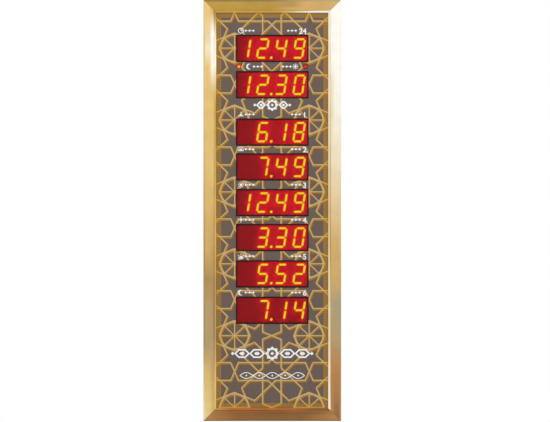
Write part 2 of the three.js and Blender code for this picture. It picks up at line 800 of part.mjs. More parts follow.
const keyGeometry = cornerKeyGeometry();
const keyCorners = [
  ["corner_key_bottom_left", -1, -1, 0],
  ["corner_key_bottom_right", 1, -1, -1],
  ["corner_key_top_right", 1, 1, -2],
  ["corner_key_top_left", -1, 1, -3],
];
for (const [name, sideX, sideZ, turns] of keyCorners) {
  const x = (sideX * overallWidth) / 2;
  const z = (sideZ * overallHeight) / 2;
  place(name, keyGeometry, aluminiumFinish, x, 0, z).rotation.y = turns * quarterTurn;
}

place("front_panel", panelGeometry(), panelFinish);
place("back_cover", coverGeometry(), coverFinish);

const bezel = bezelGeometry();
const filter = filterGeometry();
const displayModule = moduleGeometry();
const plainBoard = boardGeometry(0);
windowZ.forEach((z, i) => {
  place(`window_bezel_${i + 1}`, bezel, blackFinish, 0, 0, z);
  place(`red_filter_${i + 1}`, filter, redFinish, 0, 0, z);
  place(`display_module_${i + 1}`, displayModule, displayFinish, 0, 0, z);
  place(`display_board_${i + 1}`, i === 0 ? boardGeometry(indicatorDrop) : plainBoard, boardFinish, 0, 0, z);
});

const hangerPlate = hangerPlateGeometry();
const lens = lensGeometry();
const led = ledGeometry();
for (const [side, word] of [[-1, "left"], [1, "right"]]) {
  const hangerX = (side * hangerSpacing) / 2;
  place(`hanger_plate_${word}`, hangerPlate, steelFinish, hangerX, 0, hangerZ + hangerTravel / 2);
  const x = (side * indicatorSpacing) / 2;
  place(`indicator_lens_${word}`, lens, redFinish, x, 0, indicatorZ);
  place(`indicator_led_${word}`, led, ledFinish, x, 0, indicatorZ);
}

place("controller_board", controllerGeometry(), boardFinish);
place("coin_cell_holder", cellHolderGeometry(), blackFinish, controllerWidth / 4, 0, titleZ);
place("coin_cell", cellGeometry(), steelFinish, controllerWidth / 4, 0, titleZ);
place("ribbon_cable", ribbonGeometry(), ribbonFinish, -ribbonWidth / 2);
place("speaker", speakerGeometry(), blackFinish);
place("button_board", buttonBoardGeometry(), boardFinish);
place("power_inlet", inletGeometry(), blackFinish);

const button = buttonGeometry();
buttonNames.forEach((name, i) => place(name, button, blackFinish, buttonX[i]));

export default clock;
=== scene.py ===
"""Looks of a tall wall clock: eight lit displays behind a lattice-printed panel, in a brushed gold frame.

Metres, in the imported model's frame: X to the right seen from the front, Y into the wall, Z up.
"""
import json
import math

import bmesh
import bpy
import numpy as np
from mathutils import Color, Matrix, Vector
from mathutils.geometry import delaunay_2d_cdt


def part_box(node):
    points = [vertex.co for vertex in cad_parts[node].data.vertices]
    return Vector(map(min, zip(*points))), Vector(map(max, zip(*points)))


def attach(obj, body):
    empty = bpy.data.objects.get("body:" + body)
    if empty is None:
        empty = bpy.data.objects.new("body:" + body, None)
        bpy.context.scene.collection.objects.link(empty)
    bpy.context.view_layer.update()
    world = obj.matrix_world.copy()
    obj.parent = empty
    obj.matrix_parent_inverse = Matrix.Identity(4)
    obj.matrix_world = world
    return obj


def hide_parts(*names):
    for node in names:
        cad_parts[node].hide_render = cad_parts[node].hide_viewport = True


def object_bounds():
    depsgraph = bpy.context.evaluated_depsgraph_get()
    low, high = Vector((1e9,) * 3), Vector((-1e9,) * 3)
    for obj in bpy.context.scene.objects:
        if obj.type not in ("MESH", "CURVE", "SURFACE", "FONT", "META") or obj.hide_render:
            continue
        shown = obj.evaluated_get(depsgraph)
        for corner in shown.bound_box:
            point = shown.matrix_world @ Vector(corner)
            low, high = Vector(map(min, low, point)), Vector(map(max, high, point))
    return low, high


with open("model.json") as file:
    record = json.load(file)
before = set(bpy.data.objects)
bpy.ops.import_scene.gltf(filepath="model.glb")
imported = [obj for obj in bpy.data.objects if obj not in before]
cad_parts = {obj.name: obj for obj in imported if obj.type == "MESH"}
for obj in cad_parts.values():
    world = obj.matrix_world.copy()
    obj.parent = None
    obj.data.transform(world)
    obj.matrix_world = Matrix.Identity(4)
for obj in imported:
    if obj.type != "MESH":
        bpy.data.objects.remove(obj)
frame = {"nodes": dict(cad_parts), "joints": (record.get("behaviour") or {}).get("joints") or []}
cad_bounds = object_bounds()

# The panel's opening between the rails, and the plane of the panel's front
opening = (
    Vector((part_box("rail_left")[1].x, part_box("rail_bottom")[1].z)),
    Vector((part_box("rail_right")[0].x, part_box("rail_top")[0].z)),
)
panel_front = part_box("front_panel")[0].y

# Named tones, as sRGB
SNOW = "#FFFEFA"
IVORY = "#F6F2E8"
PEARL = "#EFEADA"
CREAM = "#E8DAB8"
BLUSH = "#DCC396"
WHEAT = "#E3CC8D"
STRAW = "#D9B975"
TAN = "#CBA86A"
HONEY = "#C9A262"
KHAKI = "#B59B70"
SAGE = "#A69D7C"
OCHRE = "#AF8E58"
OLIVE = "#B08F44"
GOLD = "#D0AA51"
BRONZE = "#B68450"
UMBER = "#8E643A"
RUSSET = "#825A36"
COPPER = "#B26A38"
SIENNA = "#A47A4E"
SHADE = "#826D3A"
FIELD = "#716259"
BAND_LIGHT = "#AE8648"
BAND_DARK = "#8A683A"
LINE_LIGHT = "#D2B986"
LINE_GOLD = "#BA821A"
LINE_BRIGHT = "#DDB05A"
INK_WHITE = "#FFFFFF"
FILTER_RED = "#B3222A"
FACE_RED = "#B32024"
GLOW_RED = "#F01626"
LIT_YELLOW = "#EAFF12"
LIT_ORANGE = "#FF7A18"
LAMP_YELLOW = "#FFE01A"
# RING_RED: the left lamp lens's outer ring, and that lamp's red light painted on the panel around it
RING_RED = "#A8382C"
LAMP_RED = "#F02428"
DARK_RED = "#5A1512"
BLACK = "#1A1917"
COVER_BLACK = "#262627"
RUBBED_GREY = "#6A6A6C"
ZINC = "#C4C7CA"
MILL = "#C9CBCD"
# The screw heads' colour deep in their recess and down their sides
SCREW_DEEP_TONE = "#34322E"
MASK_GREEN = "#1D5A36"
TRACE_GREEN = "#2B7A4C"
CABLE_GREY = "#9A9DA1"
BRASS = "#C29C4C"
PAPER_BLACK = "#202022"
FLOOR_PALE = "#E9E8E4"

# The photograph's frame: its size, a pixel's size on the clock, and where the clock's middle is in it
PHOTO_WIDTH = 550
PHOTO_HEIGHT = 422
PHOTO_PIXEL = 0.002197
MIDDLE_COLUMN = 272.25
MIDDLE_ROW = 210.4
VIEW_DISTANCE = 3.6
SENSOR = 36

# Rail section, measured inwards from the rail's outer edge and back from its crest
BEVEL_WIDTH = 0.0037
FACE_END = 0.0229
LIP_START = 0.0248
SIDE_DEPTH = 0.0055
FACE_MIDDLE = 0.0165
FACE_BLUR = 0.0045
TONE_BLUR = 0.0007
SECTION_PARTS = {
    "bevel": (0, TONE_BLUR),
    "face": (BEVEL_WIDTH, TONE_BLUR),
    "inner": (FACE_MIDDLE, FACE_BLUR),
    "groove": (FACE_END, TONE_BLUR),
    "lip": (LIP_START, TONE_BLUR),
}
RAIL_EDGE = 0.0005
SMALL_EDGE = 0.00025

# Painted reflections, highlights and shade on the rails' parts: tones at shares of the rail's length from
# the left or the bottom
RAIL_REFLECTION_TONES = {
    "left": {
        "bevel": {0: CREAM, 0.12: STRAW, 0.18: OCHRE, 0.38: OCHRE, 0.52: HONEY, 0.66: STRAW, 1: WHEAT},
        "face": {0: WHEAT, 0.11: STRAW, 0.17: KHAKI, 0.28: KHAKI, 0.34: OCHRE, 0.4: TAN, 0.6: STRAW,
                 0.84: STRAW, 0.88: CREAM, 0.92: BLUSH, 0.97: STRAW},
        "inner": {0: STRAW, 0.11: HONEY, 0.17: KHAKI, 0.34: OCHRE, 0.42: HONEY, 0.6: STRAW, 0.78: STRAW,
                  0.84: PEARL, 0.92: IVORY, 0.97: TAN},
        "groove": {0.11: WHEAT, 0.17: TAN, 0.23: OCHRE, 0.36: HONEY, 0.5: STRAW, 0.76: WHEAT, 0.83: PEARL,
                   0.92: PEARL, 0.97: OLIVE},
        "lip": {0.11: STRAW, 0.18: KHAKI, 0.25: KHAKI, 0.32: OCHRE, 0.42: TAN, 0.75: OLIVE, 0.8: STRAW,
                0.85: PEARL, 0.91: CREAM, 0.96: OLIVE},
    },
    "right": {
        "bevel": {0.13: BRONZE, 0.2: SAGE, 0.28: SAGE, 0.35: HONEY, 0.5: BLUSH, 0.62: CREAM, 0.74: PEARL,
                  0.84: IVORY},
        "face": {0: UMBER, 0.05: SIENNA, 0.13: BRONZE, 0.2: KHAKI, 0.28: SAGE, 0.33: TAN, 0.42: TAN,
                 0.52: BLUSH, 0.62: CREAM, 0.74: PEARL, 0.84: IVORY},
        "inner": {0.13: BRONZE, 0.2: KHAKI, 0.28: KHAKI, 0.35: TAN, 0.42: TAN, 0.52: BLUSH, 0.62: CREAM,
                  0.78: CREAM, 0.86: IVORY},
        "groove": {0: IVORY, 0.1: CREAM, 0.24: CREAM, 0.34: BLUSH, 0.42: TAN, 0.52: STRAW, 0.62: BLUSH,
                   0.8: CREAM, 1: PEARL},
        "lip": {0: SNOW, 0.05: IVORY, 0.2: CREAM, 0.36: CREAM, 0.5: BLUSH, 0.62: CREAM, 1: PEARL},
    },
    "top": {
        "bevel": {0.5: SHADE, 0.66: OCHRE, 0.84: KHAKI},
        "face": {0.5: OLIVE, 0.64: OCHRE, 0.72: HONEY, 1: TAN},
        "inner": {0.5: OLIVE, 0.64: HONEY, 1: TAN},
        "groove": {0.62: GOLD, 0.76: STRAW, 1: CREAM},
        "lip": {0.54: GOLD, 0.64: WHEAT, 0.8: SNOW},
    },
    "bottom": {
        "bevel": {0: RUSSET, 1: RUSSET},
        "face": {0: BRONZE, 0.25: UMBER, 0.7: UMBER, 1: BRONZE},
        "inner": {0: BRONZE, 0.2: UMBER, 0.55: RUSSET, 0.85: UMBER, 1: BRONZE},
        "groove": {0: BRONZE, 0.25: COPPER, 0.5: COPPER, 0.7: BRONZE},
        "lip": {0: HONEY, 0.2: COPPER, 0.66: COPPER, 0.8: UMBER},
    },
}

# Sheen of plain surfaces, of matt ones and of the clear red ones, as the shader's specular level
PLAIN_SPECULAR = 0.5
MATT_SPECULAR = 0.12
FILTER_SPECULAR = 0.08
FILTER_ALPHA = 0.35

# Fineness of noise: soft, plain, and with fine detail
SOFT = 2.0
TEXTURED = 2.5
PLAIN = 3.0
FINE = 4.0

# Each surface's roughness and noises, in metres: mottle darkens and pales its tone, cloud swings it more
# broadly, grain makes it smoother and rougher, and relief raises it by the depth
MOULDED = dict(roughness=0.42, mottle=0.02, dark=0.88, pale=1.12, grain=0.0006, smooth=0.07, rough=0.09,
               depth=0.00003)
METAL = dict(metallic=1.0, roughness=0.35, mottle=0.004, dark=0.85, pale=1.1, smooth=0.08, rough=0.12,
             depth=0.00001)
INK = dict(specular=MATT_SPECULAR, roughness=0.42, mottle=0.0025, dark=0.94, pale=1.05, grain=0.0006,
           smooth=0.05, rough=0.06, relief=0.0005, depth=0.00001)
LOOKS = {
    "anodised": dict(metallic=1.0, roughness=0.3, dark=0.93, pale=1.07, cloud=0.03, swing=0.1, smooth=0.06,
                     rough=0.06, depth=0.00002),
    "panel": dict(specular=MATT_SPECULAR, roughness=0.38, mottle=0.0012, dark=0.95, pale=1.05, cloud=0.06,
                  swing=0.03, grain=0.0004, smooth=0.04, rough=0.06, depth=0.00001),
    "ink": INK,
    "white ink": dict(INK, roughness=0.4),
    "moulded": MOULDED,
    "bezel": dict(MOULDED, specular=MATT_SPECULAR, roughness=0.5),
    "lamp": dict(MOULDED, roughness=0.2),
    "cap": dict(MOULDED, roughness=0.4, grain=0.0004),
    "paper": dict(MOULDED, roughness=0.8, grain=0.0009, depth=0.0001),
    "inlet": dict(roughness=0.5, dark=0.9, pale=1.08, grain=0.0006, smooth=0.08, rough=0.08, depth=0.00003),
    "steel": METAL,
    "mill": dict(METAL, roughness=0.4, mottle=0.003),
    "screw": dict(metallic=1.0, roughness=0.32, mottle=0.0012, dark=0.82, pale=1.1, smooth=0.07, rough=0.13,
                  depth=0.00002),
    "board": dict(roughness=0.3, mottle=0.01, dark=0.9, pale=1.08, grain=0.003, smooth=0.06, rough=0.08,
                  depth=0.00003),
    "cable": dict(roughness=0.5, dark=0.7, pale=1.1, grain=0.002, smooth=0.05, rough=0.1, depth=0.0003),
    "cover": dict(roughness=0.55, mottle=0.0012, dark=0.7, pale=1.35, cloud=0.07, swing=0.2, smooth=0.13,
                  rough=0.13, depth=0.00014),
    "filter": dict(specular=FILTER_SPECULAR, roughness=0.12, mottle=0.02, dark=0.94, pale=1.06, grain=0.008,
                   smooth=0.04, rough=0.04, relief=0.012, depth=0.00004),
    "face": dict(specular=0.0, roughness=0.5, mottle=0.004, dark=0.96, pale=1.04, grain=0.001, smooth=0.05,
                 rough=0.1, relief=0.0007, depth=0.00002),
    "bar": dict(specular=0.0, roughness=0.4, mottle=0.003, dark=0.96, pale=1.04),
    "lens": dict(specular=FILTER_SPECULAR, roughness=0.25, relief=0.0008, depth=0.00002),
    "floor": dict(roughness=0.6, mottle=0.3, dark=0.98, pale=1.02),
}
BRUSH_SIZE = 0.0009
BRUSH_STRETCH = 60
SCRATCH_SIZE = 0.0004
SCRATCH_STRETCH = 12
# Mottling of the display faces' painted glow
GLOW_CLOUD = 0.009
GLOW_STRETCH = 2
GLOW_SWING = 0.2
WEAVE_EDGE = 0.5
TRACKS_PER_METRE = 120
CORE_PITCH = 0.00127
SPECKLE_EDGES = (0.36, 0.64)
WEAR_SIZE = 0.005
WEAR_EDGES = (0.45, 0.75)

# Printed lattice: half the spacing of its wheels, its lines and their gold shadow
WHEEL_HALF_SPACING = Vector((0.08195, 0.07895))
LOWEST_WHEEL = -0.4334
WHEEL_RISE_COUNT = 6
SPOKE_COUNT = 8
LINE_WIDTH = 0.0024
SPOKE_WIDTH = 0.0019
SHADOW_WIDTH = 0.0044
SPOKE_SHADOW_WIDTH = 0.0032
SHADOW_SHIFT = Vector((0.0002, -0.0014))
LINE_SHIFT = Vector((-0.0011, 0.0008))
BAND_WIDTH = 0.011
BAND_WEAVE = 0.0068
INK_LIFT = 0.00004
RIM_SEGMENTS = 64

# Shares of the lattice's half spacing
WHEEL_SHARE = 0.415
RIM_SHARE = 0.37
TIP_SHARE = 0.35
BAR_SHARE = 0.248

# Layers of ink on the panel, and smoothness and joins of drawn outlines
SHADOW_LAYER = 1
LINE_LAYER = 2
MARK_LAYER = 3
ARC_STEPS = 24
WAVE_STEPS = 24
DOT_SIDES = 20
FONT_STEPS = 6
LEAST_MITRE = 0.35
MERGE_DISTANCE = 1e-7

# Windows and displays
WINDOW_MARGIN = 0.0027
DIGIT_PITCH = 0.0399
DIGIT_SHIFT = 0.0008
DIGIT_LEAN = math.tan(math.radians(9))
STROKE = 0.005
BAR_ACROSS = 0.0186
BAR_ALONG = 0.01935
BAR_X = 0.0098
BAR_Z = 0.02035
DOT_PLACE = Vector((0.0185, -0.02035))
DOT_DIAMETER = 0.0062
BAR_ROUNDING = 0.0011
# BAR_HALO: how far the painted red glow halo reaches beyond each lit bar
BAR_HALO = 0.0006
BAR_CORE = 0.001
BAR_RISE = 0.0007
DARK_BAR_RISE = BAR_RISE / 1.5
HALO_LIFT = 0.00005
FACE_GRID = 0.0016
# Emission strengths: FACE_GLOW for the painted glow on the display faces and the bar halos, BAR_GLOW for the
# lit bars' cores, LAMP_GLOW for the lamp lenses
FACE_GLOW = 0.86
BAR_GLOW = 1.46
LAMP_GLOW = 0.66
# The left lamp's red light painted on the panel: its strength, and the distances over which it fades out
SPILL = 0.75
SPILL_START = 0.0055
SPILL_END = 0.0078
# The display faces' painted glow: its rise to the right of the leftmost lit bar with the number of lit bars,
# and its spread about each lit bar
GLOW_SPAN = 0.004
GLOW_REACH = 0.0037
GLOW_PER_BAR = 0.053
GLOW_BARS_LOST = 9.5
GLOW_NEAR = 0.62
DOT_CELL = 1
BAR_WARM = 0.3
BAR_DARKNESS = 0.7
BAR_TONES = {0: GLOW_RED, 0.4: LIT_ORANGE, 0.8: LIT_YELLOW}
LAMP_DARKNESS = 0.75
LAMP_TONES = {
    "left": {0.3: LAMP_YELLOW, 0.6: LIT_ORANGE, 0.8: LAMP_RED, 1: RING_RED},
    "right": {0.66: LAMP_RED, 0.78: DARK_RED},
}
ROUNDING_STEPS = 3
ROUNDING_REACH = 0.45
READINGS = ("12.49", "12.30", "6.18", "7.49", "12.49", "3.30", "5.52", "7.14")
CELL_COUNT = 4
SEGMENTS_LIT = {"0": "abcdef", "1": "bc", "2": "abged", "3": "abgcd", "4": "fgbc", "5": "afgcd",
                "6": "afgedc", "7": "abc", "8": "abcdefg", "9": "abcdfg"}
FACE_RELIEF = 0.0008
LENS_LIP = 0.001

# White marks: beside the windows, below the second one, and in the title area
MARK_HEIGHT = 0.0128
MARK_GAP = 0.0024
MARK_INSET = 0.0045
MARK_STROKE = 0.0017
MARK_PITCH = 0.0084
MARK_DIAMOND = 0.0028
LAMP_MARK_INSET = 0.0225
NUMBER_HEIGHT = 0.012
NUMBER_GAP = 0.0065
DIGIT_ROOM = 0.0085
NUMBER_WEIGHT = 0.0004
FONT_DIGIT_SHARE = 0.73
NUMBERS = {1: "24", 3: "1", 4: "2", 5: "3", 6: "4", 7: "5", 8: "6"}
FRIEZE_ROW = 105
FRIEZE_STAR = 0.0115
FRIEZE_REACH = 0.042
FRIEZE_STROKE = 0.0032
TITLE_ROW = 353.5
TITLE_STAR = 0.0135
TITLE_STROKE = 0.0034
TITLE_REACH = 0.091
TITLE_HALF_HEIGHT = 0.0082
BRAID_ROW = 375.5
BRAID_REACH = 0.071
BRAID_HALF_HEIGHT = 0.0065
BRAID_STROKE = 0.0017
BRAID_WAVES = 5

# Shares of a mark's radius
LONG_HAND = 0.62
SHORT_HAND = 0.45
SUN_DISC = 0.44
SUN_RAY_START = 0.62
HORIZON_DROP = 0.3
HALF_SUN = 0.5
HALF_SUN_RAYS = (0.7, 1.15)
LINE_DROP = 0.2
LINE_PITCH = 0.36
LINE_TAPER = 0.3
MOON_TIP = math.radians(50)
MOON_SHIFT = 0.4
STAR_CORE = 0.3

# Shares of an ornament's size or stroke
FRIEZE_HEIGHT = 0.62
CARTOUCHE_CORE = 0.42
CARTOUCHE_GAP = 0.4
BRAID_CORE = 1.3

# Cover screws, buttons and inlet
SCREW_INSET = 0.0078
SCREW_SPAN_SHARE = 0.8
SCREW_HEAD = 0.0034
SCREW_SEAT = 0.0017
SCREW_TOP = 0.0002
# Depths below a screw head's top between which its colour turns to the darker one
DARKENING_DEPTHS = (SCREW_SEAT / 3, SCREW_SEAT / 9)
CROSS_REACH = 0.0019
CROSS_WIDTH = 0.0007
CROSS_DEPTH = 0.0009
COVER_WEAR = 0.0007
BUTTON_ROUNDING = 0.0006
BUTTON_DISH = 0.0003
COLLAR_WIDTH = 0.0012
COLLAR_LOW = 0.0019
COLLAR_THICKNESS = 0.001
STEM_RADIUS = 0.0015
INLET_PIN = 0.0016
CROSS_TAPER = 0.6
DISH_PLACE = 0.5
DISH_SHARE = 0.8

# Smoothness of turned pieces and of rounded edges
TURN_STEPS = 48
QUARTER_STEPS = 4
SHARP_ANGLE = math.radians(35)
BEVEL_ANGLE = math.radians(30)
BEVEL_SEGMENTS = 3
SMALL_SEGMENTS = 2

# Light and floor: each lamp's place, size and power
LAMPS = {
    "key lamp": ((-1.6, -2.6, 2.0), 1.6, 42),
    "fill lamp": ((2.2, -2.2, 0.6), 1.8, 20),
}
WORLD_LEVEL = 0.46
FLOOR_DROP = 1.2
FLOOR_SIZE = 3.4
FLOOR_HAZE = 0.6


# Places
def box_middle(name):
    low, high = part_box(name)
    return (low + high) / 2


def windows():
    return range(1, len(READINGS) + 1)


# Tones and node materials
def tone(code):
    """An sRGB code as a linear colour with full alpha."""
    shares = [int(code[i : i + 2], 16) / 255 for i in (1, 3, 5)]
    return (*Color(shares).from_srgb_to_scene_linear(), 1)


class Nodes:
    """The shader nodes of a material or world."""

    def __init__(self, owner):
        owner.use_nodes = True
        self.tree = owner.node_tree

    def node(self, kind, *values, **settings):
        """A new node with its settings, and with values or links in its first inputs."""
        made = self.tree.nodes.new("ShaderNode" + kind)
        for key, value in settings.items():
            setattr(made, key, value)
        for socket, value in zip(made.inputs, values):
            self.connect(socket, value)
        return made

    def connect(self, socket, value):
        if isinstance(value, bpy.types.NodeSocket):
            self.tree.links.new(value, socket)
        else:
            socket.default_value = value

    def math(self, operation, *values):
        return self.node("Math", *values, operation=operation).outputs[0]

    def ranged(self, value, low, high, ends="From", kind="LINEAR"):
        """A value's share of the way from low to high or, where the ends are To, what lies at that share."""
        made = self.node("MapRange", value, interpolation_type=kind)
        self.connect(made.inputs[ends + " Min"], low)
        self.connect(made.inputs[ends + " Max"], high)
        return made.outputs["Result"]


class Finish(Nodes):
    """A node material around one Principled shader, with procedural detail as its look says."""

    def __init__(self, name, colour, look):
        self.look = LOOKS[look]
        self.material = bpy.data.materials.new(name)
        super().__init__(self.material)
        self.shader = self.tree.nodes["Principled BSDF"]
        self.feed("Base Color", tone(colour))
        self.feed("Roughness", self.look["roughness"])
        self.feed("Metallic", self.look.get("metallic", 0.0))
        self.feed("Specular IOR Level", self.look.get("specular", PLAIN_SPECULAR))
        self.position = self.node("TexCoord").outputs["Object"]
        self.x, self.y, self.z = self.node("SeparateXYZ", self.position).outputs

    def feed(self, name, value):
        self.connect(self.shader.inputs[name], value)

    def step(self, value, low, high):
        """0 below low and 1 above high, smoothly between them."""
        return self.ranged(value, low, high, kind="SMOOTHSTEP")

    def mix(self, factor, first, second, blend="MIX"):
        made = self.node("Mix", data_type="RGBA", blend_type=blend)
        self.connect(made.inputs["Factor"], factor)
        colours = [socket for socket in made.inputs if socket.type == "RGBA"]
        for socket, value in zip(colours, (first, second)):
            self.connect(socket, tone(value) if isinstance(value, str) else value)
        return next(socket for socket in made.outputs if socket.type == "RGBA")

    def ramp(self, value, stops):
        made = self.node("ValToRGB", value)
        elements = made.color_ramp.elements
        while len(elements) < len(stops):
            elements.new(1.0)
        for element, (share, code) in zip(elements, stops.items()):
            element.position = share
            element.color = tone(code)
        return made.outputs["Color"]

    def noise(self, size, stretch=(1, 1, 1), detail=PLAIN):
        """Noise with features of this size in metres, longer along the stretched axes."""
        mapping = self.node("Mapping", self.position)
        self.connect(mapping.inputs["Scale"], [1 / (size * share) for share in stretch])
        made = self.node("TexNoise", mapping.outputs[0])
        self.connect(made.inputs["Scale"], 1.0)
        self.connect(made.inputs["Detail"], detail)
        return made.outputs[0]

    def shade(self, colour, value, low, high):
        """The colour made darker and paler by a 0 to 1 value."""
        level = self.ranged(value, low, high, "To")
        grey = self.node("CombineColor", level, level, level)
        return self.mix(1.0, colour, grey.outputs[0], "MULTIPLY")

    def mottled(self, colour, value=None):
        """The colour shaded by the look's mottle, or by a given value."""
        value = self.noise(self.look["mottle"]) if value is None else value
        return self.shade(colour, value, self.look["dark"], self.look["pale"])

    def clouded(self, colour, detail=PLAIN):
        """The colour shaded by the look's cloud."""
        swing = self.look["swing"]
        return self.shade(colour, self.noise(self.look["cloud"], detail=detail), 1 - swing, 1 + swing)

    def bump(self, height):
        made = self.node("Bump")
        self.connect(made.inputs["Height"], height)
        self.connect(made.inputs["Distance"], self.look["depth"])
        self.feed("Normal", made.outputs[0])

    def dressed(self, colour, grain=None, relief=None):
        """The material with this colour, and with the look's grain and relief or given values."""
        grain = self.noise(self.look["grain"]) if grain is None else grain
        relief = self.noise(self.look["relief"]) if relief is None else relief
        smoothest = self.look["roughness"] - self.look["smooth"]
        roughest = self.look["roughness"] + self.look["rough"]
        self.feed("Base Color", colour)
        self.feed("Roughness", self.ranged(grain, smoothest, roughest, "To"))
        self.bump(relief)
        return self.material


def rail_finish(side, along_x, outer):
    """Brushed gold anodising, with painted reflections, highlights and shade as tone shifts along the rail
    and across its section.
    """
    made = Finish(f"anodised {side}", HONEY, "anodised")
    index = 0 if along_x else 2
    along = made.ranged(made.x if along_x else made.z, cad_bounds[0][index], cad_bounds[1][index])
    aside = made.math("SUBTRACT", made.z if along_x else made.x, outer)
    across = made.math("MULTIPLY", aside, -math.copysign(1, outer))
    # Each part of the section takes its painted reflection and shade tones along the rail
    colour = HONEY
    for part, (place, blur) in SECTION_PARTS.items():
        boundary = made.step(across, place - blur, place + blur)
        colour = made.mix(boundary, colour, made.ramp(along, RAIL_REFLECTION_TONES[side][part]))
    crest = cad_bounds[0].y
    behind = made.step(made.y, crest + SIDE_DEPTH, crest + 2 * SIDE_DEPTH)
    colour = made.mix(behind, colour, HONEY)
    stretch = (BRUSH_STRETCH, 1, 1) if along_x else (1, 1, BRUSH_STRETCH)
    brushed = made.noise(BRUSH_SIZE, stretch, FINE)
    return made.dressed(made.clouded(made.mottled(colour, brushed), SOFT), brushed, brushed)


def edge_distance(made, half_width, half_height):
    """How far inside the nearest side of an upright rectangle about the origin a point lies."""
    inside_x = made.math("SUBTRACT", half_width, made.math("ABSOLUTE", made.x))
    inside_z = made.math("SUBTRACT", half_height, made.math("ABSOLUTE", made.z))
    return made.math("MINIMUM", inside_x, inside_z)


def band_share(made):
    """1 in the printed edge band and 0 in the field, from the distance to the opening's edge."""
    edge = edge_distance(made, *opening[1])
    return made.step(edge, BAND_WIDTH + TONE_BLUR / 2, BAND_WIDTH - TONE_BLUR / 2)


def axis_distance(made, centre, across="z"):
    """Distance from an axis through the centre, along Y or, where across is y, along Z."""
    aside = made.math("SUBTRACT", made.x, centre.x)
    other = made.math("SUBTRACT", made.y if across == "y" else made.z, getattr(centre, across))
    squares = made.math("ADD", made.math("POWER", aside, 2), made.math("POWER", other, 2))
    return made.math("POWER", squares, 0.5)


def lamp_spill(made):
    """1 close to the left lamp, where its red light is painted on the panel, and 0 further off."""
    return made.step(axis_distance(made, box_middle("indicator_lens_left")), SPILL_END, SPILL_START)


def panel_finish():
    """Satin printed sheet: a grey-brown field, with the left lamp's red light painted on it near the lamp,
    and a woven gold edge band.
    """
    made = Finish("printed sheet", FIELD, "panel")
    turn = 2 * math.pi / BAND_WEAVE
    slopes = [made.math(way, made.x, made.z) for way in ("ADD", "SUBTRACT")]
    waves = [made.math("SINE", made.math("MULTIPLY", slope, turn)) for slope in slopes]
    weave = made.step(made.math("MULTIPLY", *waves), -WEAVE_EDGE, WEAVE_EDGE)
    band = made.mix(weave, BAND_DARK, BAND_LIGHT)
    field = made.mix(made.math("MULTIPLY", lamp_spill(made), SPILL), FIELD, RING_RED)
    colour = made.clouded(made.mottled(made.mix(band_share(made), field, band)))
    grain = made.noise(made.look["grain"], detail=SOFT)
    return made.dressed(colour, grain, grain)


def ink_finish(name, colour, over_band=None, look="ink"):
    """Screen ink with a faint unevenness, in another tone over the edge band where one is given."""
    made = Finish(name, colour, look)
    ink = made.mix(band_share(made), colour, over_band) if over_band else colour
    return made.dressed(made.mottled(ink))


def moulded_finish(name, colour, look="moulded"):
    """Moulded plastic with a fine spark-eroded grain."""
    made = Finish(name, colour, look)
    grain = made.noise(made.look["grain"], detail=SOFT)
    return made.dressed(made.mottled(colour), grain, grain)


def metal_finish(name, colour, look):
    """Plated or milled metal with soft spangles and fine scratches."""
    made = Finish(name, colour, look)
    spangle = made.noise(made.look["mottle"], detail=FINE)
    scratch = made.noise(SCRATCH_SIZE, (1, 1, SCRATCH_STRETCH))
    return made.dressed(made.mottled(colour, spangle), spangle, scratch)


def board_finish():
    """Green solder mask over copper tracks."""
    made = Finish("solder mask", MASK_GREEN, "board")
    mask = tone(MASK_GREEN)
    tracks = made.node("TexBrick", made.position, mask, mask, tone(TRACE_GREEN), TRACKS_PER_METRE)
    return made.dressed(made.mottled(tracks.outputs["Color"]), relief=tracks.outputs["Fac"])


def cable_finish():
    """Flat ribbon cable with its parallel cores."""
    made = Finish("ribbon cable", CABLE_GREY, "cable")
    wave = made.math("SINE", made.math("MULTIPLY", made.x, 2 * math.pi / CORE_PITCH))
    ridge = made.step(wave, -1, 1)
    return made.dressed(made.mottled(CABLE_GREY, ridge), relief=ridge)


def cover_finish():
    """Black plastic sheet with a fine texture, rubbed paler here and there along its edges."""
    made = Finish("cover sheet", COVER_BLACK, "cover")
    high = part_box("back_cover")[1]
    speckle = made.step(made.noise(made.look["mottle"], detail=TEXTURED), *SPECKLE_EDGES)
    near_edge = made.step(edge_distance(made, high.x, high.z), COVER_WEAR, 0)
    worn = made.math("MULTIPLY", near_edge, made.step(made.noise(WEAR_SIZE), *WEAR_EDGES))
    coat = made.clouded(made.mottled(COVER_BLACK, speckle))
    return made.dressed(made.mix(worn, coat, RUBBED_GREY), speckle, speckle)


def screw_finish():
    """Zinc-plated screw head, darker deeper in its cross recess and down its side."""
    made = Finish("zinc screw", ZINC, "screw")
    spangle = made.noise(made.look["mottle"], detail=FINE)
    shallow = made.step(made.y, *(-SCREW_TOP - depth for depth in DARKENING_DEPTHS))
    return made.dressed(made.mottled(made.mix(shallow, SCREW_DEEP_TONE, ZINC), spangle), spangle, spangle)


def inlet_finish():
    """Moulded socket housing with a brass pin in the middle of its bore."""
    made = Finish("inlet", BLACK, "inlet")
    grain = made.noise(made.look["grain"], detail=SOFT)
    pin = made.math("LESS_THAN", axis_distance(made, box_middle("power_inlet"), "y"), INLET_PIN)
    made.feed("Metallic", pin)
    return made.dressed(made.mix(pin, made.mottled(BLACK, grain), BRASS), grain, grain)


def filter_finish():
    """Clear red acrylic, polished, with faint moulding waves."""
    made = Finish("red filter", FILTER_RED, "filter")
    made.feed("Alpha", FILTER_ALPHA)
    return made.dressed(made.mottled(FILTER_RED))


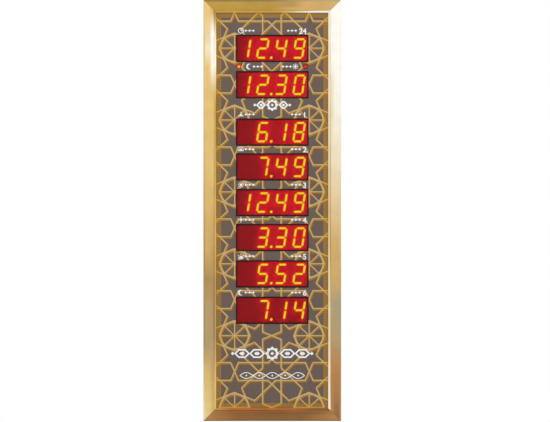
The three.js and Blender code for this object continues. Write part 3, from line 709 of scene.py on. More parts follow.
def display_face_finish():
    """Dark red display face, with a painted red glow where lit bars shine on it."""
    made = Finish("display face", FACE_RED, "face")
    glow = made.node("Attribute", attribute_name="glow").outputs["Fac"]
    cloud = made.noise(GLOW_CLOUD, (1, 1, GLOW_STRETCH))
    made.feed("Emission Color", made.shade(GLOW_RED, cloud, 1 - GLOW_SWING, 1 + GLOW_SWING))
    made.feed("Emission Strength", made.math("MULTIPLY", glow, FACE_GLOW))
    return made.dressed(made.mottled(FACE_RED))


def lit_bar_finish():
    """Translucent bar lit from behind: yellow in its core, orange at its edge, and a painted red glow in its
    halo.
    """
    made = Finish("lit bar", LIT_YELLOW, "bar")
    heat = made.node("Attribute", attribute_name="lit").outputs["Fac"]
    colour = made.ramp(heat, BAR_TONES)
    made.feed("Base Color", made.mix(BAR_DARKNESS, colour, BLACK))
    made.feed("Emission Color", made.mottled(colour))
    made.feed("Emission Strength", made.ranged(heat, FACE_GLOW, BAR_GLOW, "To"))
    return made.material


def lamp_finish(name, stops, square):
    """Lens over a lamp: bands of tone by distance from its centre, as shares of its half width."""
    low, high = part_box(name)
    made = Finish(name, LAMP_RED, "lens")
    centre = box_middle(name)
    aside = made.math("ABSOLUTE", made.math("SUBTRACT", made.x, centre.x))
    above = made.math("ABSOLUTE", made.math("SUBTRACT", made.z, centre.z))
    reach = made.math("MAXIMUM", aside, above) if square else axis_distance(made, centre)
    colour = made.ramp(made.math("DIVIDE", reach, (high.x - low.x) / 2 - LENS_LIP), stops)
    made.feed("Base Color", made.mix(LAMP_DARKNESS, colour, BLACK))
    made.feed("Emission Color", colour)
    made.feed("Emission Strength", LAMP_GLOW)
    made.bump(made.noise(made.look["relief"]))
    return made.material


# Objects and meshes
def linked(name, data):
    """A new object in the scene."""
    made = bpy.data.objects.new(name, data)
    bpy.context.scene.collection.objects.link(made)
    return made


def evaluated(made):
    """A mesh of the object as its modifiers or text give it."""
    bpy.context.view_layer.update()
    return bpy.data.meshes.new_from_object(made.evaluated_get(bpy.context.evaluated_depsgraph_get()))


def poured(name, made):
    """A mesh with what was built, which is then freed."""
    mesh = bpy.data.meshes.new(name)
    made.to_mesh(mesh)
    made.free()
    return mesh


def drawn(name, places, faces):
    """A mesh of these places and faces."""
    mesh = bpy.data.meshes.new(name)
    mesh.from_pydata(places, [], faces)
    return mesh


def piece(name, mesh, material, body="case", replaced=()):
    """A new object on the mesh that rides on a body."""
    made = linked(name, mesh)
    mesh.materials.clear()
    mesh.materials.append(material)
    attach(made, body)
    if replaced:
        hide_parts(*replaced)
    return made


def carried(name, material):
    """Gives a CAD node its finish."""
    mesh = frame["nodes"][name].data
    mesh.materials.clear()
    mesh.materials.append(material)
    return frame["nodes"][name]


def bevelled(made, width, segments=BEVEL_SEGMENTS):
    """Rounds the edges of a piece by a modifier."""
    bevel = made.modifiers.new("rounded edges", "BEVEL")
    bevel.width = width
    bevel.segments = segments
    bevel.limit_method = "ANGLE"
    bevel.angle_limit = BEVEL_ANGLE
    bevel.harden_normals = True
    return made


def covered(places, outlines):
    """Which of the places lie inside any of the outlines, by counting the edges to their right."""
    found = np.zeros(len(places), bool)
    for outline in outlines:
        corners = np.array(outline)
        near = np.all((places > corners.min(0)) & (places < corners.max(0)), axis=1).nonzero()[0]
        x, z = places[near].T
        inside = np.zeros(len(near), bool)
        for (ax, az), (bx, bz) in zip(corners, np.roll(corners, -1, axis=0)):
            if az != bz:
                crossing = ax + (z - az) * (bx - ax) / (bz - az)
                inside ^= ((az > z) != (bz > z)) & (x < crossing)
        found[near] |= inside
    return found


def printed(name, shapes, cuts, material, layer):
    """The joined outlines as a sheet of ink on the panel, without the cuts and what the rails hide."""
    border = rectangle(*opening)
    points = []
    faces = []
    for outline in [border, *cuts, *shapes]:
        faces.append(list(range(len(points), len(points) + len(outline))))
        points.extend(outline)
    places, _, triangles, *_ = delaunay_2d_cdt(points, [], faces, 0, MERGE_DISTANCE, False)
    centres = np.array([sum((places[i] for i in triangle), Vector((0, 0))) / 3 for triangle in triangles])
    inked = covered(centres, shapes) & covered(centres, [border]) & ~covered(centres, cuts)
    kept = [triangle for triangle, shown in zip(triangles, inked) if shown]
    used = sorted({corner for triangle in kept for corner in triangle})
    numbers = {corner: i for i, corner in enumerate(used)}
    front = panel_front - layer * INK_LIFT
    sheet = [(places[i].x, front, places[i].y) for i in used]
    mesh = drawn(name, sheet, [[numbers[corner] for corner in triangle] for triangle in kept])
    piece(name, mesh, material)


# Flat outlines on the panel, as lists of points in X and Z
def rectangle(low, high):
    corners = (low[0], low[1]), (high[0], low[1]), (high[0], high[1]), (low[0], high[1])
    return [Vector(corner) for corner in corners]


def polar(reach, angle):
    return reach * math.cos(angle), reach * math.sin(angle)


def polygon(centre, radius, count, start=0.0):
    turn = 2 * math.pi / count
    return [centre + Vector(polar(radius, start + i * turn)) for i in range(count)]


def bends(points, closed=True):
    """Each point of a line, with the length of the stretch before it and the ways in and out."""
    first = points[-1] if closed else 2 * points[0] - points[1]
    last = points[0] if closed else 2 * points[-1] - points[-2]
    for before, point, after in zip([first, *points[:-1]], points, [*points[1:], last]):
        yield point, (point - before).length, (point - before).normalized(), (after - point).normalized()


def ribbon(points, width, closed=False):
    """Quads of this width along a line, mitred at its corners."""
    sides = []
    for point, _, into, onward in bends(points, closed):
        across = Vector((-(into + onward).y, (into + onward).x)).normalized()
        reach = across * width / 2 / max(LEAST_MITRE, across.dot(Vector((-into.y, into.x))))
        sides.append((point + reach, point - reach))
    following = sides[1:] + sides[:1] if closed else sides[1:]
    return [[a, b, d, c] for (a, b), (c, d) in zip(sides, following)]


def moved(outlines, shift):
    return [[point + shift for point in outline] for outline in outlines]


# The lattice: wheels of eight spokes in octagons, joined by five-pointed stars
def wheel_centres():
    spacing = WHEEL_HALF_SPACING
    return [
        Vector((side * spacing.x, LOWEST_WHEEL + 2 * rise * spacing.y))
        for side in (-1, 1)
        for rise in range(WHEEL_RISE_COUNT)
    ]


def placed(centre, share):
    """The place on the panel at shares of the lattice's half spacing from a wheel's centre."""
    return centre + Vector((share[0] * WHEEL_HALF_SPACING.x, share[1] * WHEEL_HALF_SPACING.y))


def lattice_shares():
    """The lines about one wheel, as shares of half the spacing: arms, bars between arms, and spokes."""
    slope = math.tan(math.pi / SPOKE_COUNT)
    bend = (WHEEL_SHARE + TIP_SHARE) / (1 + slope)
    tip = 1 - TIP_SHARE
    arm = [(-1, tip), (-bend, bend - TIP_SHARE), (0, WHEEL_SHARE), (bend, bend - TIP_SHARE), (1, tip)]
    top = 1 - BAR_SHARE
    bar_corner = [(1, tip), (tip + BAR_SHARE, top), (BAR_SHARE * slope, top), (0, 1)]
    lines = []
    for side in (-1, 1):
        upright = [(x, side * z) for x, z in arm]
        lines += [upright, [(z, x) for x, z in upright]]
        for level in (-1, 1):
            corner = [(side * x, level * z) for x, z in bar_corner]
            lines += [corner, [(side * z, level * x) for x, z in bar_corner]]
    spokes = [[(0, 0), polar(WHEEL_SHARE, 2 * math.pi * i / SPOKE_COUNT)] for i in range(SPOKE_COUNT)]
    return lines, spokes


def lattice_outlines(line_width, spoke_width, rim_width):
    """All the lattice's strokes on the panel at these widths."""
    lines, spokes = lattice_shares()
    rim = [polar(RIM_SHARE, 2 * math.pi * i / RIM_SEGMENTS) for i in range(RIM_SEGMENTS)]
    outlines = []
    for centre in wheel_centres():
        for line in lines:
            outlines += ribbon([placed(centre, share) for share in line], line_width)
        for spoke in spokes:
            outlines += ribbon([placed(centre, share) for share in spoke], spoke_width)
        outlines += ribbon([placed(centre, share) for share in rim], rim_width, closed=True)
    return outlines


def rim_outlines():
    """The slivers between each wheel's octagon and its rim, as a ring of quads."""
    step = math.pi / SPOKE_COUNT
    edge = [polar(WHEEL_SHARE * (math.cos(step) if i % 2 else 1), i * step) for i in range(2 * SPOKE_COUNT)]
    rim = [polar(RIM_SHARE, i * step) for i in range(2 * SPOKE_COUNT)]
    quads = list(zip(rim, edge, edge[1:] + edge[:1], rim[1:] + rim[:1]))
    return [[placed(centre, share) for share in quad] for centre in wheel_centres() for quad in quads]


def widened(name, margin):
    """The low and high corner of a node's front, moved outwards by a margin."""
    low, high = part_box(name)
    return (low.x - margin, low.z - margin), (high.x + margin, high.z + margin)


def window_rectangle(number):
    return widened(f"red_filter_{number}", WINDOW_MARGIN)


def panel_cuts():
    """Outlines of the panel's openings, which no ink crosses."""
    cuts = [window_rectangle(number) for number in windows()]
    cuts += [widened(f"indicator_lens_{side}", -LENS_LIP) for side in ("left", "right")]
    return [rectangle(*cut_out) for cut_out in cuts]


def print_lattice():
    cuts = panel_cuts()
    gold = ink_finish("gold ink", LINE_GOLD, LINE_GOLD)
    pale = ink_finish("pale gold ink", LINE_LIGHT, LINE_BRIGHT)
    shadow = moved(lattice_outlines(SHADOW_WIDTH, SPOKE_SHADOW_WIDTH, SHADOW_WIDTH), SHADOW_SHIFT)
    printed("lattice_shadow", shadow + rim_outlines(), cuts, gold, SHADOW_LAYER)
    light = moved(lattice_outlines(LINE_WIDTH, SPOKE_WIDTH, SPOKE_WIDTH), LINE_SHIFT)
    printed("lattice_lines", light, cuts, pale, LINE_LAYER)


# White marks: pictograms, plain numbers and geometric ornament
def bar(start, end, width=MARK_STROKE):
    return ribbon([start, end], width)


def arc(centre, radius, start, end):
    turn = (end - start) / ARC_STEPS
    return [centre + Vector(polar(radius, start + turn * i)) for i in range(ARC_STEPS + 1)]


def circle(centre, radius, count=RIM_SEGMENTS):
    return polygon(centre, radius, count)


def diamond(centre, radius):
    return polygon(centre, radius, 4)


def clock_mark(centre, radius):
    face = ribbon(circle(centre, radius - MARK_STROKE / 2), MARK_STROKE, closed=True)
    hands = bar(centre, centre + Vector((0, radius * LONG_HAND)))
    return face + hands + bar(centre, centre + Vector((radius * SHORT_HAND, 0)))


def rays(centre, near, far, angles):
    ends = [(centre + Vector(polar(near, angle)), centre + Vector(polar(far, angle))) for angle in angles]
    return [quad for start, end in ends for quad in bar(start, end)]


def sun_mark(centre, radius, ray_count):
    angles = [2 * math.pi * i / ray_count for i in range(ray_count)]
    return [circle(centre, radius * SUN_DISC)] + rays(centre, radius * SUN_RAY_START, radius, angles)


def horizon_mark(centre, radius, ray_count, lines=1):
    """Half a sun on the horizon, with rays above it and lines below."""
    level = centre - Vector((0, radius * HORIZON_DROP))
    near, far = HALF_SUN_RAYS
    outlines = [arc(level, radius * HALF_SUN, 0, math.pi)]
    angles = [math.pi * (i + 0.5) / ray_count for i in range(ray_count)]
    outlines += rays(level, radius * near, radius * far, angles)
    for i in range(lines):
        middle = level - Vector((0, radius * (LINE_DROP + LINE_PITCH * i)))
        half = Vector((radius * (1 - LINE_TAPER * i), 0))
        outlines += bar(middle - half, middle + half)
    return outlines


def moon_mark(centre, radius):
    shift = Vector((radius * MOON_SHIFT, 0))
    tip = Vector(polar(radius, MOON_TIP)) - shift
    inner_tip = math.atan2(tip.y, tip.x)
    outer_arc = arc(centre, radius, MOON_TIP, 2 * math.pi - MOON_TIP)
    inner_arc = arc(centre + shift, tip.length, 2 * math.pi - inner_tip, inner_tip)
    return [outer_arc + inner_arc[1:-1]]


def rule_mark(start, direction, count=3):
    """Small diamonds on a thin line, from a start point to one side."""
    places = [start + Vector((direction * MARK_PITCH * i, 0)) for i in range(count)]
    return [diamond(place, MARK_DIAMOND) for place in places] + bar(places[0], places[-1], MARK_STROKE / 2)


def row_mark(centre, direction, mark, *counts):
    """A pictogram with its rule on one side."""
    radius = MARK_HEIGHT / 2
    start = centre + Vector((direction * (radius + MARK_PITCH / 2), 0))
    return mark(centre, radius, *counts) + rule_mark(start, direction)


def star_mark(centre, radius, stroke):
    """An eight-pointed star of two squares with a diamond in it."""
    squares = [ribbon(polygon(centre, radius, 4, turn), stroke, closed=True) for turn in (0, math.pi / 4)]
    return squares[0] + squares[1] + [diamond(centre, radius * STAR_CORE)]


def cartouche_mark(centre, half_length, half_height, stroke):
    """A long hexagon with a smaller one in it."""
    shoulder = half_length - half_height
    lower = [(-half_length, 0), (-shoulder, -half_height), (shoulder, -half_height)]
    outline = [centre + Vector((side * x, side * z)) for side in (1, -1) for x, z in lower]
    inner = [centre + (point - centre) * CARTOUCHE_CORE for point in outline]
    return ribbon(outline, stroke, closed=True) + [inner]


def frieze(centre, reach, star_radius, half_height, stroke, panel_count):
    """A star with cartouches on both sides, ended by diamonds."""
    outlines = star_mark(centre, star_radius, stroke)
    start = star_radius + stroke
    length = (reach - start - half_height) / panel_count
    for side in (-1, 1):
        for i in range(panel_count):
            middle = centre + Vector((side * (start + length * (i + 0.5)), 0))
            outlines += cartouche_mark(middle, length / 2 - stroke * CARTOUCHE_GAP, half_height, stroke)
        outlines.append(diamond(centre + Vector((side * (reach - half_height / 2), 0)), half_height / 2))
    return outlines


def braid(centre, reach, half_height, stroke, waves):
    """Two crossing waves with a diamond in each loop."""
    count = waves * WAVE_STEPS
    outlines = []
    for side in (-1, 1):
        heights = [side * half_height * math.sin(math.pi * waves * i / count) for i in range(count + 1)]
        wave = [centre + Vector((reach * (2 * i / count - 1), height)) for i, height in enumerate(heights)]
        outlines += ribbon(wave, stroke)
    for i in range(waves):
        middle = centre + Vector((reach * ((2 * i + 1) / waves - 1), 0))
        outlines.append(diamond(middle, stroke * BRAID_CORE))
    return outlines


def row_middle(row):
    """The middle of the clock's width at a row of the photograph."""
    return Vector((0, (MIDDLE_ROW - row) * PHOTO_PIXEL))


def label_marks():
    """The pictogram and rule at the left above a window, and the rule before the number at the right."""
    marks = {
        1: (clock_mark,),
        3: (horizon_mark, 1),
        4: (horizon_mark, 5),
        5: (sun_mark, 8),
        6: (sun_mark, 4),
        7: (horizon_mark, 3, 2),
        8: (moon_mark,),
    }
    outlines = []
    for number, mark in marks.items():
        (left, _), (right, top) = window_rectangle(number)
        level = top + MARK_GAP + MARK_HEIGHT / 2
        outlines += row_mark(Vector((left + MARK_INSET + MARK_HEIGHT / 2, level)), 1, *mark)
        room = NUMBER_GAP + len(NUMBERS.get(number, "")) * DIGIT_ROOM
        outlines += rule_mark(Vector((right - MARK_INSET - room, level)), -1)
    return outlines


def lamp_marks():
    """A moon beside the left lamp and a sun beside the right one, each with its rule."""
    outlines = []
    for side, direction, *mark in (("left", 1, moon_mark), ("right", -1, sun_mark, 8)):
        lamp = box_middle(f"indicator_lens_{side}")
        outlines += row_mark(Vector((lamp.x + direction * LAMP_MARK_INSET, lamp.z)), direction, *mark)
    return outlines


def print_marks():
    white = ink_finish("white ink", INK_WHITE, look="white ink")
    shapes = label_marks() + lamp_marks()
    height = FRIEZE_STAR * FRIEZE_HEIGHT
    shapes += frieze(row_middle(FRIEZE_ROW), FRIEZE_REACH, FRIEZE_STAR, height, FRIEZE_STROKE, 1)
    shapes += frieze(row_middle(TITLE_ROW), TITLE_REACH, TITLE_STAR, TITLE_HALF_HEIGHT, TITLE_STROKE, 2)
    shapes += braid(row_middle(BRAID_ROW), BRAID_REACH, BRAID_HALF_HEIGHT, BRAID_STROKE, BRAID_WAVES)
    printed("white_marks", shapes, panel_cuts(), white, MARK_LAYER)
    for number, text in NUMBERS.items():
        print_number(number, text, white)


def print_number(number, text, material):
    """A plain number at the right above a window."""
    curve = bpy.data.curves.new(f"number_{number}", "FONT")
    curve.body = text
    curve.align_x = "RIGHT"
    curve.offset = NUMBER_WEIGHT
    curve.size = NUMBER_HEIGHT / FONT_DIGIT_SHARE
    curve.resolution_u = FONT_STEPS
    writer = linked(curve.name, curve)
    mesh = evaluated(writer)
    bpy.data.objects.remove(writer)
    _, (right, top) = window_rectangle(number)
    for vertex in mesh.vertices:
        x, z, _ = vertex.co
        vertex.co = (right - MARK_INSET + x, panel_front - MARK_LAYER * INK_LIFT, top + MARK_GAP + z)
    piece(f"row_number_{number}", mesh, material)


# Displays: a moulded face with raised bars, lit or dark
def grown(points, distance):
    """A convex outline with each edge moved outwards by this distance."""
    made = []
    for point, _, into, onward in bends(points):
        outward = Vector((into.y + onward.y, -into.x - onward.x)).normalized()
        made.append(point + outward * distance / outward.dot(Vector((into.y, -into.x))))
    return made


def rounded(points, radius):
    """An outline with its corners rounded."""
    made = []
    for point, length, into, onward in bends(points):
        back = min(radius * math.tan(into.angle(onward) / 2), length * ROUNDING_REACH)
        start = point - into * back
        end = point + onward * back
        for i in range(ROUNDING_STEPS + 1):
            share = i / ROUNDING_STEPS
            made.append(start * (1 - share) ** 2 + point * 2 * share * (1 - share) + end * share**2)
    return made


def bar_line(name):
    """The middle line of a digit's bar, before the slant, and its half length."""
    across = {"a": BAR_Z, "g": 0, "d": -BAR_Z}
    if name in across:
        return Vector((0, across[name])), Vector((BAR_ACROSS / 2, 0))
    side = 1 if name in "bc" else -1
    level = 1 if name in "bf" else -1
    return Vector((side * BAR_X, level * BAR_Z / 2)), Vector((0, BAR_ALONG / 2))


def bar_outline(name):
    """The six-sided outline of a digit's bar, anticlockwise."""
    middle, reach = bar_line(name)
    aside = Vector((-reach.y, reach.x)).normalized() * STROKE / 2
    shoulder = reach * (1 - STROKE / 2 / reach.length)
    steps = [reach, shoulder + aside, aside - shoulder, -reach, -shoulder - aside, shoulder - aside]
    return [middle + step for step in steps]


def slanted(point):
    return Vector((point.x + point.y * DIGIT_LEAN, point.y))


def cells(reading):
    """The reading's digits from the left cell on, with blanks before them."""
    return reading.replace(".", "").rjust(CELL_COUNT)


def digit_place(cell):
    return Vector(((cell - (CELL_COUNT - 1) / 2) * DIGIT_PITCH - DIGIT_SHIFT, 0))


def display_bars(reading):
    """Outlines of the bars and points that are lit and of those that are dark, before the slant."""
    lit = []
    dark = []
    for cell, digit in enumerate(cells(reading)):
        shown = SEGMENTS_LIT.get(digit, "")
        for name in "abcdefg":
            outline = [digit_place(cell) + point for point in bar_outline(name)]
            (lit if name in shown else dark).append(outline)
        if cell < CELL_COUNT - 1:
            slant = Vector((DOT_PLACE.y * DIGIT_LEAN, 0))
            dot = circle(digit_place(cell) + DOT_PLACE - slant, DOT_DIAMETER / 2, DOT_SIDES)
            (lit if cell == DOT_CELL else dark).append(dot)
    return lit, dark


def glow_at(points, reading):
    """How brightly the face's painted glow shines at points of the slanted face, from 0 to 1: more near each
    lit bar, and more to the right of the leftmost lit bar when many bars are lit.
    """
    x = points[:, 0] - points[:, 1] * DIGIT_LEAN
    z = points[:, 1]
    near = np.zeros(len(points))
    left = opening[1].x
    bar_count = 0
    for cell, digit in enumerate(cells(reading)):
        for name in SEGMENTS_LIT.get(digit, ""):
            middle, reach = bar_line(name)
            middle = middle + digit_place(cell)
            left = min(left, middle.x - reach.x)
            aside = np.maximum(np.abs(x - middle.x) - reach.x - STROKE / 2, 0)
            above = np.maximum(np.abs(z - middle.y) - reach.y - STROKE / 2, 0)
            near += GLOW_NEAR * np.exp(-np.hypot(aside, above) / GLOW_REACH)
            bar_count += 1
    level = GLOW_PER_BAR * max(0, bar_count - GLOW_BARS_LOST)
    base = level * np.clip((x - left) / GLOW_SPAN, 0, 1)
    return np.minimum(1, base + near)


def with_values(mesh, name, values):
    mesh.attributes.new(name, "FLOAT", "POINT").data.foreach_set("value", np.asarray(values, np.float32))
    return mesh


# The display face's painted glow from the lit bars, stored as a value at each point
def with_glow(mesh, centre, reading):
    points = np.array([(vertex.co.x - centre.x, vertex.co.z - centre.z) for vertex in mesh.vertices])
    return with_values(mesh, "glow", glow_at(points, reading))


def bars_mesh(name, outlines, centre, face, levels):
    """Bars built up from loops: how far each is grown, how far it stands off the face, and its heat."""
    places = []
    faces = []
    heats = []
    for outline in outlines:
        loops = []
        for growth, rise, heat in levels:
            loop = grown(outline, growth)
            if len(outline) < DOT_SIDES:
                loop = rounded(loop, BAR_ROUNDING + max(growth, 0))
            loops.append(list(range(len(places), len(places) + len(loop))))
            places += [(centre.x + point.x, face - rise, centre.z + point.y) for point in map(slanted, loop)]
            heats += [heat] * len(loop)
        for low, high in zip(loops, loops[1:]):
            faces += [(low[i - 1], low[i], high[i], high[i - 1]) for i in range(len(low))]
        faces.append(loops[-1])
    return with_values(drawn(name, places, faces), "lit", heats)


def face_mesh(name, low, high, front):
    """The module's block with a finely divided front."""
    size = high - low
    block = bmesh.new()
    segments = [math.ceil(length / FACE_GRID) for length in (size.x, size.z)]
    bmesh.ops.create_grid(block, x_segments=segments[0], y_segments=segments[1], size=0.5)
    for vertex in block.verts:
        x, z, _ = vertex.co
        vertex.co = (low.x + size.x * (x + 0.5), front, low.z + size.z * (z + 0.5))
    rim = [edge for edge in block.edges if edge.is_boundary]
    wall = bmesh.ops.extrude_edge_only(block, edges=rim)["geom"]
    for vertex in (item for item in wall if isinstance(item, bmesh.types.BMVert)):
        vertex.co.y = high.y
    back = [edge for edge in block.edges if edge.is_boundary]
    bmesh.ops.contextual_create(block, geom=back)
    bmesh.ops.recalc_face_normals(block, faces=block.faces)
    return poured(name, block)


def build_display(number, face_material, lit_material):
    reading = READINGS[number - 1]
    node = f"display_module_{number}"
    low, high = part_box(node)
    centre = box_middle(node)
    front = low.y + FACE_RELIEF
    face = with_glow(face_mesh(f"display_face_{number}", low, high, front), centre, reading)
    piece(face.name, face, face_material, replaced=[node])
    lit, dark = display_bars(reading)
    # The outer loop of each lit bar is its painted red glow halo
    glowing = [(BAR_HALO, HALO_LIFT, 0.0), (0, BAR_RISE / 2, BAR_WARM), (-BAR_CORE, BAR_RISE, 1.0)]
    lit_bars = bars_mesh(f"lit_bars_{number}", lit, centre, front, glowing)
    piece(lit_bars.name, lit_bars, lit_material)
    plain = [(0, -HALO_LIFT, 0.0), (0, BAR_RISE / 2, 0.0), (-BAR_CORE / 2, DARK_BAR_RISE, 0.0)]
    dark_bars = with_glow(bars_mesh(f"dark_bars_{number}", dark, centre, front, plain), centre, reading)
    piece(dark_bars.name, dark_bars, face_material)


def build_displays():
    face = display_face_finish()
    lit = lit_bar_finish()
    acrylic = filter_finish()
    for number in windows():
        build_display(number, face, lit)
        carried(f"red_filter_{number}", acrylic)


def dress_lamps():
    for side, stops in LAMP_TONES.items():
        name = f"indicator_lens_{side}"
        material = lamp_finish(name, stops, side == "right")
        bevelled(carried(name, material), SMALL_EDGE, SMALL_SEGMENTS)


# Turned pieces: cover screws and button caps
def turned(name, profile, origin, axis):
    """A solid turned from radius and height pairs about an axis through the origin."""
    turn = axis.to_track_quat("Z", "Y")
    made = bmesh.new()
    rings = []
    for radius, height in profile:
        angles = [2 * math.pi * i / TURN_STEPS for i in range(TURN_STEPS if radius else 1)]
        places = [Vector((*polar(radius, angle), height)) for angle in angles]
        rings.append([made.verts.new(origin + turn @ place) for place in places])
    for low, high in zip(rings, rings[1:]):
        for i in range(TURN_STEPS):
            steps = (low, i), (low, i + 1), (high, i + 1), (high, i)
            made.faces.new(list(dict.fromkeys(ring[step % len(ring)] for ring, step in steps)))
    bmesh.ops.recalc_face_normals(made, faces=made.faces)
    mesh = poured(name, made)
    mesh.polygons.foreach_set("use_smooth", [True] * len(mesh.polygons))
    mesh.set_sharp_from_angle(angle=SHARP_ANGLE)
    return mesh


def quarter(radius, height, rounding):
    """Profile points round an outer edge at this radius and height, from the side to the face."""
    steps = [polar(rounding, math.pi / 2 * i / QUARTER_STEPS) for i in range(QUARTER_STEPS + 1)]
    return [(radius - rounding + x, height - rounding + z) for x, z in steps]


def screw_places():
    x = cad_bounds[1].x - SCREW_INSET
    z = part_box("rail_top")[1].z - SCREW_INSET
    rows = [z * SCREW_SPAN_SHARE * level for level in (-1, 0, 1)]
    return [(0, z), (0, -z)] + [(side * x, row) for side in (-1, 1) for row in rows]


def cross_cutter(origin):
    """Two crossed wedges for the recess of a screw head."""
    cutter = bmesh.new()
    for x, z in ((CROSS_REACH, CROSS_WIDTH), (CROSS_WIDTH, CROSS_REACH)):
        for vertex in bmesh.ops.create_cube(cutter, size=2)["verts"]:
            taper = 1 if vertex.co.y > 0 else CROSS_TAPER
            vertex.co = origin + vertex.co * Vector((x * taper, CROSS_DEPTH, z * taper))
    return poured("cross", cutter)


def cut(mesh, cutter_mesh):
    """The mesh without the cutter's space."""
    target = linked("target", mesh)
    cutter = linked("cutter", cutter_mesh)
    boolean = target.modifiers.new("cut", "BOOLEAN")
    boolean.object = cutter
    boolean.operation = "DIFFERENCE"
    boolean.solver = "EXACT"
    boolean.use_self = True
    result = evaluated(target)
    for made in (target, cutter):
        bpy.data.objects.remove(made)
    return result


def build_screws():
    steel = screw_finish()
    for number, (x, z) in enumerate(screw_places(), 1):
        origin = Vector((x, 0, z))
        name = f"cover_screw_{number}"
        profile = [(0, -SCREW_SEAT), (SCREW_HEAD, -SCREW_SEAT)]
        profile += quarter(SCREW_HEAD, -SCREW_TOP, SCREW_SEAT / 2) + [(0, -SCREW_TOP)]
        mesh = cut(turned(name, profile, origin, Vector((0, 1, 0))), cross_cutter(origin))
        mesh.name = name
        piece(mesh.name, mesh, steel)


def cap_profile(radius, collar, stand, depth):
    """A button cap from its dished face to the end of its stem, as radius and height pairs."""
    shelf = -COLLAR_LOW - COLLAR_THICKNESS
    dish = [(0, stand - BUTTON_DISH), (radius * DISH_PLACE, stand - BUTTON_DISH * DISH_SHARE)]
    side = [(radius, -COLLAR_LOW), (collar, -COLLAR_LOW), (collar, shelf)]
    stem = [(STEM_RADIUS, shelf), (STEM_RADIUS, -depth), (0, -depth)]
    return dish + quarter(radius, stand, BUTTON_ROUNDING)[::-1] + side + stem


def build_buttons():
    material = moulded_finish("button cap", BLACK, "cap")
    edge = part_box("rail_bottom")[0].z
    for joint in frame["joints"]:
        name = joint["child"]
        low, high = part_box(name)
        collar = (high.x - low.x) / 2
        origin = Vector((*box_middle(name).xy, edge))
        profile = cap_profile(collar - COLLAR_WIDTH, collar, edge - low.z, high.z - edge)
        mesh = turned(f"{name}_cap", profile, origin, Vector((0, 0, -1)))
        piece(mesh.name, mesh, material, body=name, replaced=[name])


# Finishes of the CAD nodes that stay
def dress_inside():
    """The pieces behind the panel, seen through openings or with the cover off."""
    rim = moulded_finish("bezel plastic", BLACK, "bezel")
    board = board_finish()
    steel = metal_finish("zinc steel", ZINC, "steel")
    mill = metal_finish("mill aluminium", MILL, "mill")
    for number in windows():
        bevelled(carried(f"window_bezel_{number}", rim), SMALL_EDGE, SMALL_SEGMENTS)
        carried(f"display_board_{number}", board)
    for side in ("left", "right"):
        carried(f"hanger_plate_{side}", steel)
        carried(f"indicator_led_{side}", moulded_finish(f"lamp {side}", LAMP_RED, "lamp"))
        for level in ("bottom", "top"):
            carried(f"corner_key_{level}_{side}", mill)
    carried("controller_board", board)
    carried("button_board", board)
    bevelled(carried("power_inlet", inlet_finish()), SMALL_EDGE, SMALL_SEGMENTS)
    carried("coin_cell_holder", moulded_finish("black plastic", BLACK))
    carried("coin_cell", steel)
    carried("ribbon_cable", cable_finish())
    carried("speaker", moulded_finish("speaker paper", PAPER_BLACK, "paper"))


def dress_frame():
    (left, _, bottom), (right, _, top) = cad_bounds
    rails = ("left", False, left), ("right", False, right), ("top", True, top), ("bottom", True, bottom)
    for side, along_x, outer in rails:
        material = rail_finish(side, along_x, outer)
        bevelled(carried(f"rail_{side}", material), SMALL_EDGE if side == "bottom" else RAIL_EDGE)
    carried("front_panel", panel_finish())
    carried("back_cover", cover_finish())


# Camera, light and floor
def add_camera():
    front = cad_bounds[0].y
    data = bpy.data.cameras.new("camera")
    data.sensor_width = SENSOR
    data.lens = SENSOR * (VIEW_DISTANCE + panel_front - front) / (PHOTO_WIDTH * PHOTO_PIXEL)
    camera = linked("camera", data)
    aside = (PHOTO_WIDTH / 2 - MIDDLE_COLUMN) * PHOTO_PIXEL
    below = (MIDDLE_ROW - PHOTO_HEIGHT / 2) * PHOTO_PIXEL
    camera.location = (aside, front - VIEW_DISTANCE, below)
    camera.rotation_euler = (math.pi / 2, 0, 0)
    bpy.context.scene.camera = camera


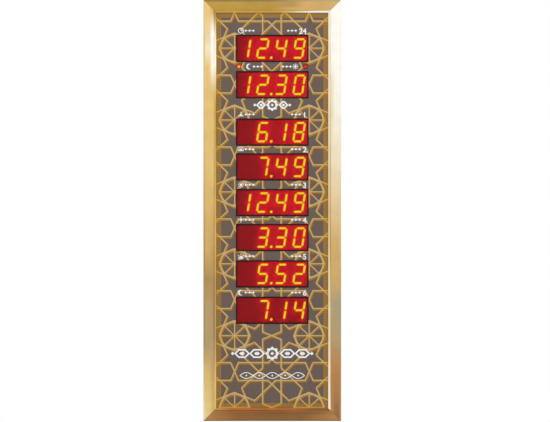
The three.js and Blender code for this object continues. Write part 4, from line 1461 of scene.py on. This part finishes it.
def add_lamp(name, location, size, power):
    data = bpy.data.lights.new(name, "AREA")
    data.size = size
    data.energy = power
    lamp = linked(name, data)
    lamp.location = location
    lamp.rotation_euler = (-Vector(location)).to_track_quat("-Z", "Y").to_euler()


def add_world():
    """White for the camera and in reflections, and a plain level as light."""
    world = bpy.data.worlds.new("studio")
    made = Nodes(world)
    path = made.node("LightPath").outputs
    clear = made.math("MAXIMUM", path["Is Camera Ray"], path["Is Glossy Ray"])
    clear = made.math("MAXIMUM", clear, path["Is Transmission Ray"])
    background = world.node_tree.nodes["Background"].inputs
    made.connect(background["Color"], (1, 1, 1, 1))
    made.connect(background["Strength"], made.ranged(clear, WORLD_LEVEL, 1, "To"))
    bpy.context.scene.world = world


def floor_finish():
    """Pale floor, white in reflections, near white to the camera and clear from underneath."""
    made = Finish("floor", FLOOR_PALE, "floor")
    made.feed("Base Color", made.mottled(FLOOR_PALE))
    rays_seen = made.node("LightPath").outputs
    haze = made.math("MULTIPLY", rays_seen["Is Camera Ray"], FLOOR_HAZE)
    whiter = made.math("MAXIMUM", rays_seen["Is Glossy Ray"], haze)
    white = made.node("Emission").outputs[0]
    sheer = made.node("BsdfTransparent").outputs[0]
    underside = made.node("NewGeometry").outputs["Backfacing"]
    seen = made.shader.outputs[0]
    for factor, other in ((whiter, white), (underside, sheer)):
        seen = made.node("MixShader", factor, seen, other).outputs[0]
    made.connect(made.tree.nodes["Material Output"].inputs["Surface"], seen)
    return made.material


def add_floor():
    """A floor well below the clock, which keeps its shadow."""
    half = FLOOR_SIZE / 2
    level = (cad_bounds[0].z + cad_bounds[1].z) / 2 - FLOOR_DROP
    places = [(point.x, point.y, level) for point in rectangle((-half, -half), (half, half))]
    floor = linked("floor", drawn("floor", places, [(0, 1, 2, 3)]))
    floor.data.materials.append(floor_finish())


add_camera()
add_world()
for lamp_name, settings in LAMPS.items():
    add_lamp(lamp_name, *settings)
add_floor()
bpy.context.scene.view_settings.view_transform = "Standard"

dress_frame()
dress_inside()
dress_lamps()
build_displays()
print_lattice()
print_marks()
build_screws()
build_buttons()
